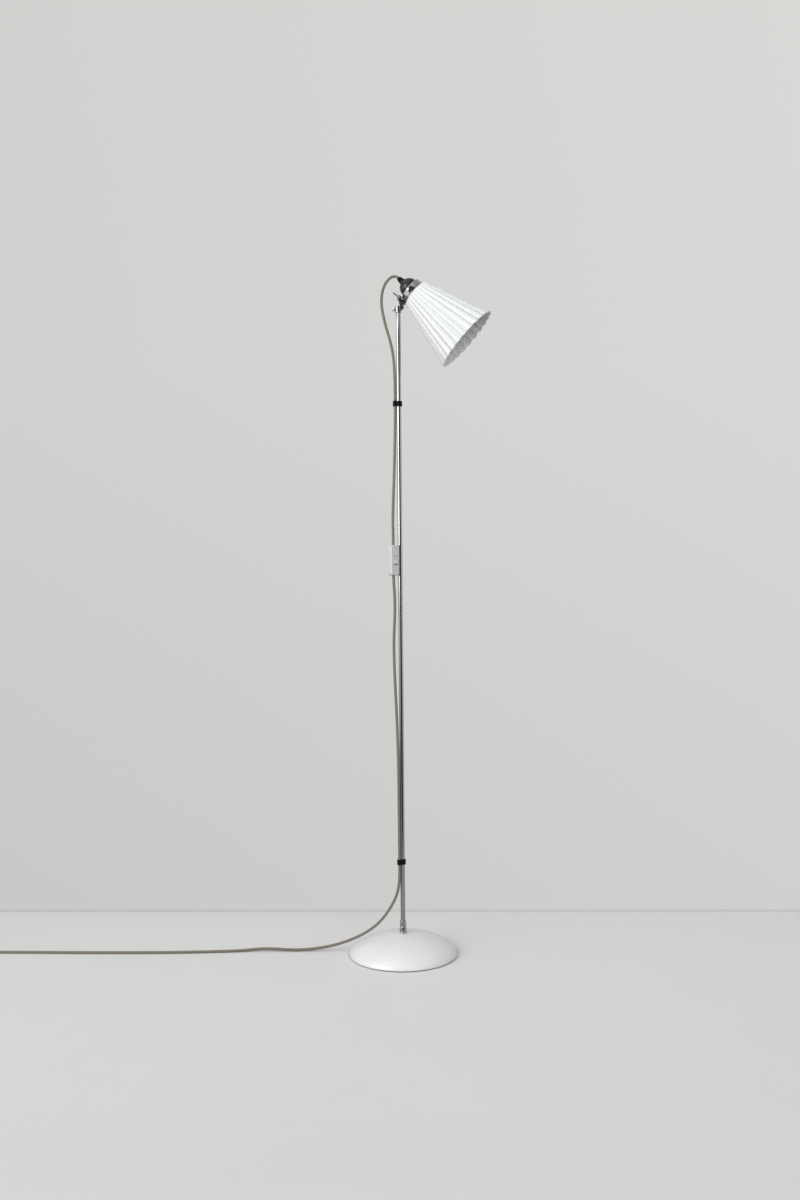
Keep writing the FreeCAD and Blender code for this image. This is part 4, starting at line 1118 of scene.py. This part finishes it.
def plug_shell():
    bm = block((-9.65, -17.0, PLUG_LOW), (9.65, 17.0, PLUG_HIGH))
    rounded(bm, 4.0, 6, edges=edges_along(bm, 2, 20))
    return rounded(bm, 1.4, 3, edges=end_edges(bm, 2))


def plug_pins():
    profile = [(0, PLUG_HIGH), (2.4, PLUG_HIGH), (2.4, 69.6), (2.0, 70.5), (1.1, 71.0), (0, 71.0)]
    return joined(*[moved(turned(profile, 32), shift(0, side * PIN_SPACING / 2, 0))
                    for side in (-1, 1)])


def plug():
    """Plain two-pin plug, on the floor at the end of the cord."""
    place = Matrix.Translation(COIL_TAIL_END) @ rotation(-90, "Y")
    pieces = []
    for name, bm, material, slot, node_name in (
            ("plug_strain_relief", strain_relief(), white_plastic, "white_plastic", "plug_sleeve"),
            ("plug_shell", plug_shell(), white_plastic, "white_plastic", "plug_body"),
            ("plug_contact_pins", plug_pins(), brass, "brass", "plug_pins")):
        pieces.append(place_piece(bm, name, material, "stand", [node_name], place))
    return pieces


plug_pieces = plug()


# ---- cords -----------------------------------------------------------------------------------
def cord_piece(name, route, stands_for):
    mesh, path = cord_tube(name, route)
    mesh.materials.append(braided)
    piece = linked(name, mesh)
    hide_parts(*stands_for)
    return piece, path


def cords():
    head_loop, path = cord_piece("head_loop", head_loop_route, ["cord_loop_at_head"])
    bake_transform(head_loop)
    rod_loop, path = cord_piece("rod_loop", rod_loop_route, ["cord_loop_at_rod"])
    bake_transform(rod_loop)
    upper, path = cord_piece("cord_upper", rod_upper_route, ["cord_above_switch"])
    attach(upper, "stand")
    route = rod_lower_route + floor_route + coil_points() + [COIL_TAIL_END]
    lower, path = cord_piece("cord_lower", route, ["cord_below_switch", "cord_on_floor",
                                                   "cord_coil"])
    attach(lower, "stand")


cords()

# ---- nodes that keep their CAD shape ---------------------------------------------------------
kept = {
    "base_weight": iron, "rod_stud": zinc, "rod_fixing_washer": zinc, "rod_fixing_nut": zinc,
    "friction_washers": fibre, "wing_nut_washer": zinc, "terminal_disc": ceramic,
    "centre_contact": brass, "screw_shell": brass, "switch_screws": zinc,
    "switch_terminals": phenolic, "switch_contacts": brass,
}
for name, material in kept.items():
    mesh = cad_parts[name].data
    mesh.materials.clear()
    mesh.materials.append(material)

# ---- floor, wall and light -------------------------------------------------------------------
FLOOR_REACH = 9.0
FLOOR_NEAR = (0.68, 0.68, 0.67, 1)
FLOOR_NEAR_Y = -0.9
FLOOR_FAR = (0.90, 0.90, 0.89, 1)
FLOOR_FAR_Y = 0.3
FLOOR_ACROSS = 0.12
BOUNCE_COLOUR = (0.36, 0.36, 0.355, 1)
MIRRORED_FLOOR = 0.4
MIRRORED_FLOOR_END = 0.7
MIRRORED_ROOM_START = 1.3
MIRRORED_FLOOR_STRENGTH = 1.25
MIRRORED_ROOM_STRENGTH = 1.75
WALL_DISTANCE = 0.311
WALL_YAW = 1.4
WALL_HALF_WIDTH = 3.2
WALL_HEIGHT = 3.6
WALL_FADE_HEIGHT = 2.2
WALL_ACROSS = 0.04
WALL_BLUE = 0.985
SOFT_COLOUR = (0.98, 0.99, 1.0, 1)
SOFT_STRENGTH = 0.49
BEYOND_COLOUR = (0.66, 0.66, 0.645, 1)


def seen_directly(tree, *more):
    """1 for rays of the camera and through glass, and of the other kinds named."""
    path = node(tree, "ShaderNodeLightPath").outputs
    seen = path["Is Camera Ray"]
    for kind in (*more, "Is Transmission Ray"):
        seen = sums(tree, "MAXIMUM", seen, path[kind])
    return seen


def floor_material():
    """Pale floor, lighter towards the wall and the right. For glossy rays it glows instead, a
    painted reflection: flat grey near the lamp, the room light further out.
    """
    made, tree, shader = new_material("floor_paper")
    shader.inputs["Roughness"].default_value = 0.9
    shader.inputs["Specular IOR Level"].default_value = 0.1
    place = node(tree, "ShaderNodeTexCoord").outputs["Object"]
    parts = parts_of(tree, place)
    path = node(tree, "ShaderNodeLightPath").outputs
    back = ranged(tree, parts["Y"], FLOOR_NEAR_Y, FLOOR_FAR_Y)
    share = sums(tree, "MULTIPLY_ADD", noise(tree, place, 3.0, 2.0), 0.1, back)
    colour = blend_colours(tree, share, FLOOR_NEAR, FLOOR_FAR)
    across = ranged(tree, parts["X"], -1.0, 1.0, 1.0 - FLOOR_ACROSS, 1.0 + FLOOR_ACROSS)
    colour = node(tree, "ShaderNodeVectorMath", {0: colour, "Scale": across},
                  operation="SCALE").outputs[0]
    colour = blend_colours(tree, path["Is Diffuse Ray"], colour, BOUNCE_COLOUR)
    tree.links.new(colour, shader.inputs["Base Color"])
    # Painted reflection: what metal sees of the floor is this glow, not the lit floor.
    away = node(tree, "ShaderNodeVectorMath", {0: place}, operation="LENGTH").outputs["Value"]
    beyond = ranged(tree, away, MIRRORED_FLOOR_END, MIRRORED_ROOM_START)
    around = node(tree, "ShaderNodeGroup", {0: place}, node_tree=room_light)
    shown = blend_colours(tree, beyond, grey(MIRRORED_FLOOR), around.outputs[0])
    mirrored = node(tree, "ShaderNodeEmission", {0: shown,
                                                 1: MIRRORED_FLOOR_STRENGTH}).outputs[0]
    whole = blend_shaders(tree, path["Is Glossy Ray"], shader.outputs[0], mirrored)
    tree.links.new(whole, tree.nodes["Material Output"].inputs["Surface"])
    return made


def wall_material():
    """Pale wall, seen only from its front. For the camera and for metal it glows, with painted
    shade: darker towards the floor, a painted shadow line along its foot, and a little lighter to
    the right.
    """
    made, tree, shader = new_material("wall_paint")
    shader.inputs["Base Color"].default_value = BOUNCE_COLOUR
    shader.inputs["Roughness"].default_value = 0.95
    parts = parts_of(tree, node(tree, "ShaderNodeTexCoord").outputs["Object"])
    # Painted shade: the glow darkens towards the floor, and its first stop is a painted shadow
    # line along the foot of the wall.
    glow_with_painted_shade = colour_ramp(tree, sums(tree, "DIVIDE", parts["Z"], WALL_FADE_HEIGHT), [
        (0.0, (0.50, 0.50, 0.49, 1)), (0.002, grey(0.605, WALL_BLUE)),
        (0.25, grey(0.625, WALL_BLUE)), (0.6, grey(0.66, WALL_BLUE)),
        (1.0, (0.665, 0.665, 0.65, 1))])
    # Painted light: the glow grows a little stronger to the right.
    across = sums(tree, "MULTIPLY_ADD", parts["X"], WALL_ACROSS, 1.0)
    glow = node(tree, "ShaderNodeEmission", {0: glow_with_painted_shade, 1: across}).outputs[0]
    front = blend_shaders(tree, seen_directly(tree, "Is Glossy Ray"), shader.outputs[0], glow)
    back = node(tree, "ShaderNodeBsdfTransparent").outputs[0]
    behind = node(tree, "ShaderNodeNewGeometry").outputs["Backfacing"]
    whole = blend_shaders(tree, behind, front, back)
    tree.links.new(whole, tree.nodes["Material Output"].inputs["Surface"])
    return made


def stage_plane(name, corners, material):
    bm = bmesh.new()
    bm.faces.new([bm.verts.new(corner) for corner in corners])
    mesh = as_mesh(bm, name)
    mesh.materials.append(material)
    plane = linked(name, mesh)
    return plane


def set_room():
    reach = FLOOR_REACH
    stage_plane("floor", [(-reach, -reach, 0), (reach, -reach, 0), (reach, reach, 0),
                          (-reach, reach, 0)], floor_material())
    lean = math.tan(math.radians(WALL_YAW)) * WALL_HALF_WIDTH
    left = (-WALL_HALF_WIDTH, WALL_DISTANCE + lean)
    right = (WALL_HALF_WIDTH, WALL_DISTANCE - lean)
    wall = stage_plane("wall", [(*left, 0), (*right, 0), (*right, WALL_HEIGHT),
                                (*left, WALL_HEIGHT)], wall_material())
    wall.visible_shadow = False


def area_light(name, place, target, side, power):
    """Square light at a place, facing a target."""
    lamp = bpy.data.lights.new(name, "AREA")
    lamp.size = side
    lamp.energy = power
    light = linked(name, lamp)
    light.location = place
    light.rotation_euler = (Vector(target) - Vector(place)).to_track_quat("-Z", "Y").to_euler()
    return light


def set_light():
    """Window at the left, a weak fill at the right, and the soft light of the room."""
    area_light("window_light", (-2.1, -1.9, 1.75), (0, 0, 0.75), side=2.0, power=57)
    fill = area_light("front_fill", (0.95, -2.5, 1.75), (0, 0, 0.85), side=1.2, power=20)
    fill.visible_glossy = False
    world = bpy.data.worlds.new("studio")
    scene.world = world
    world.use_nodes = True
    tree = world.node_tree
    soft = tree.nodes["Background"]
    soft.inputs["Color"].default_value = SOFT_COLOUR
    soft.inputs["Strength"].default_value = SOFT_STRENGTH
    way = node(tree, "ShaderNodeTexCoord").outputs["Generated"]
    around = node(tree, "ShaderNodeGroup", {0: way}, node_tree=room_light)
    mirrored = node(tree, "ShaderNodeBackground", {0: around.outputs[0],
                                                   1: MIRRORED_ROOM_STRENGTH}).outputs[0]
    seen = node(tree, "ShaderNodeBackground", {0: BEYOND_COLOUR, 1: 1.0}).outputs[0]
    path = node(tree, "ShaderNodeLightPath").outputs
    light = blend_shaders(tree, path["Is Glossy Ray"], soft.outputs[0], mirrored)
    whole = blend_shaders(tree, seen_directly(tree), light, seen)
    tree.links.new(whole, tree.nodes["World Output"].inputs["Surface"])


set_room()
set_light()
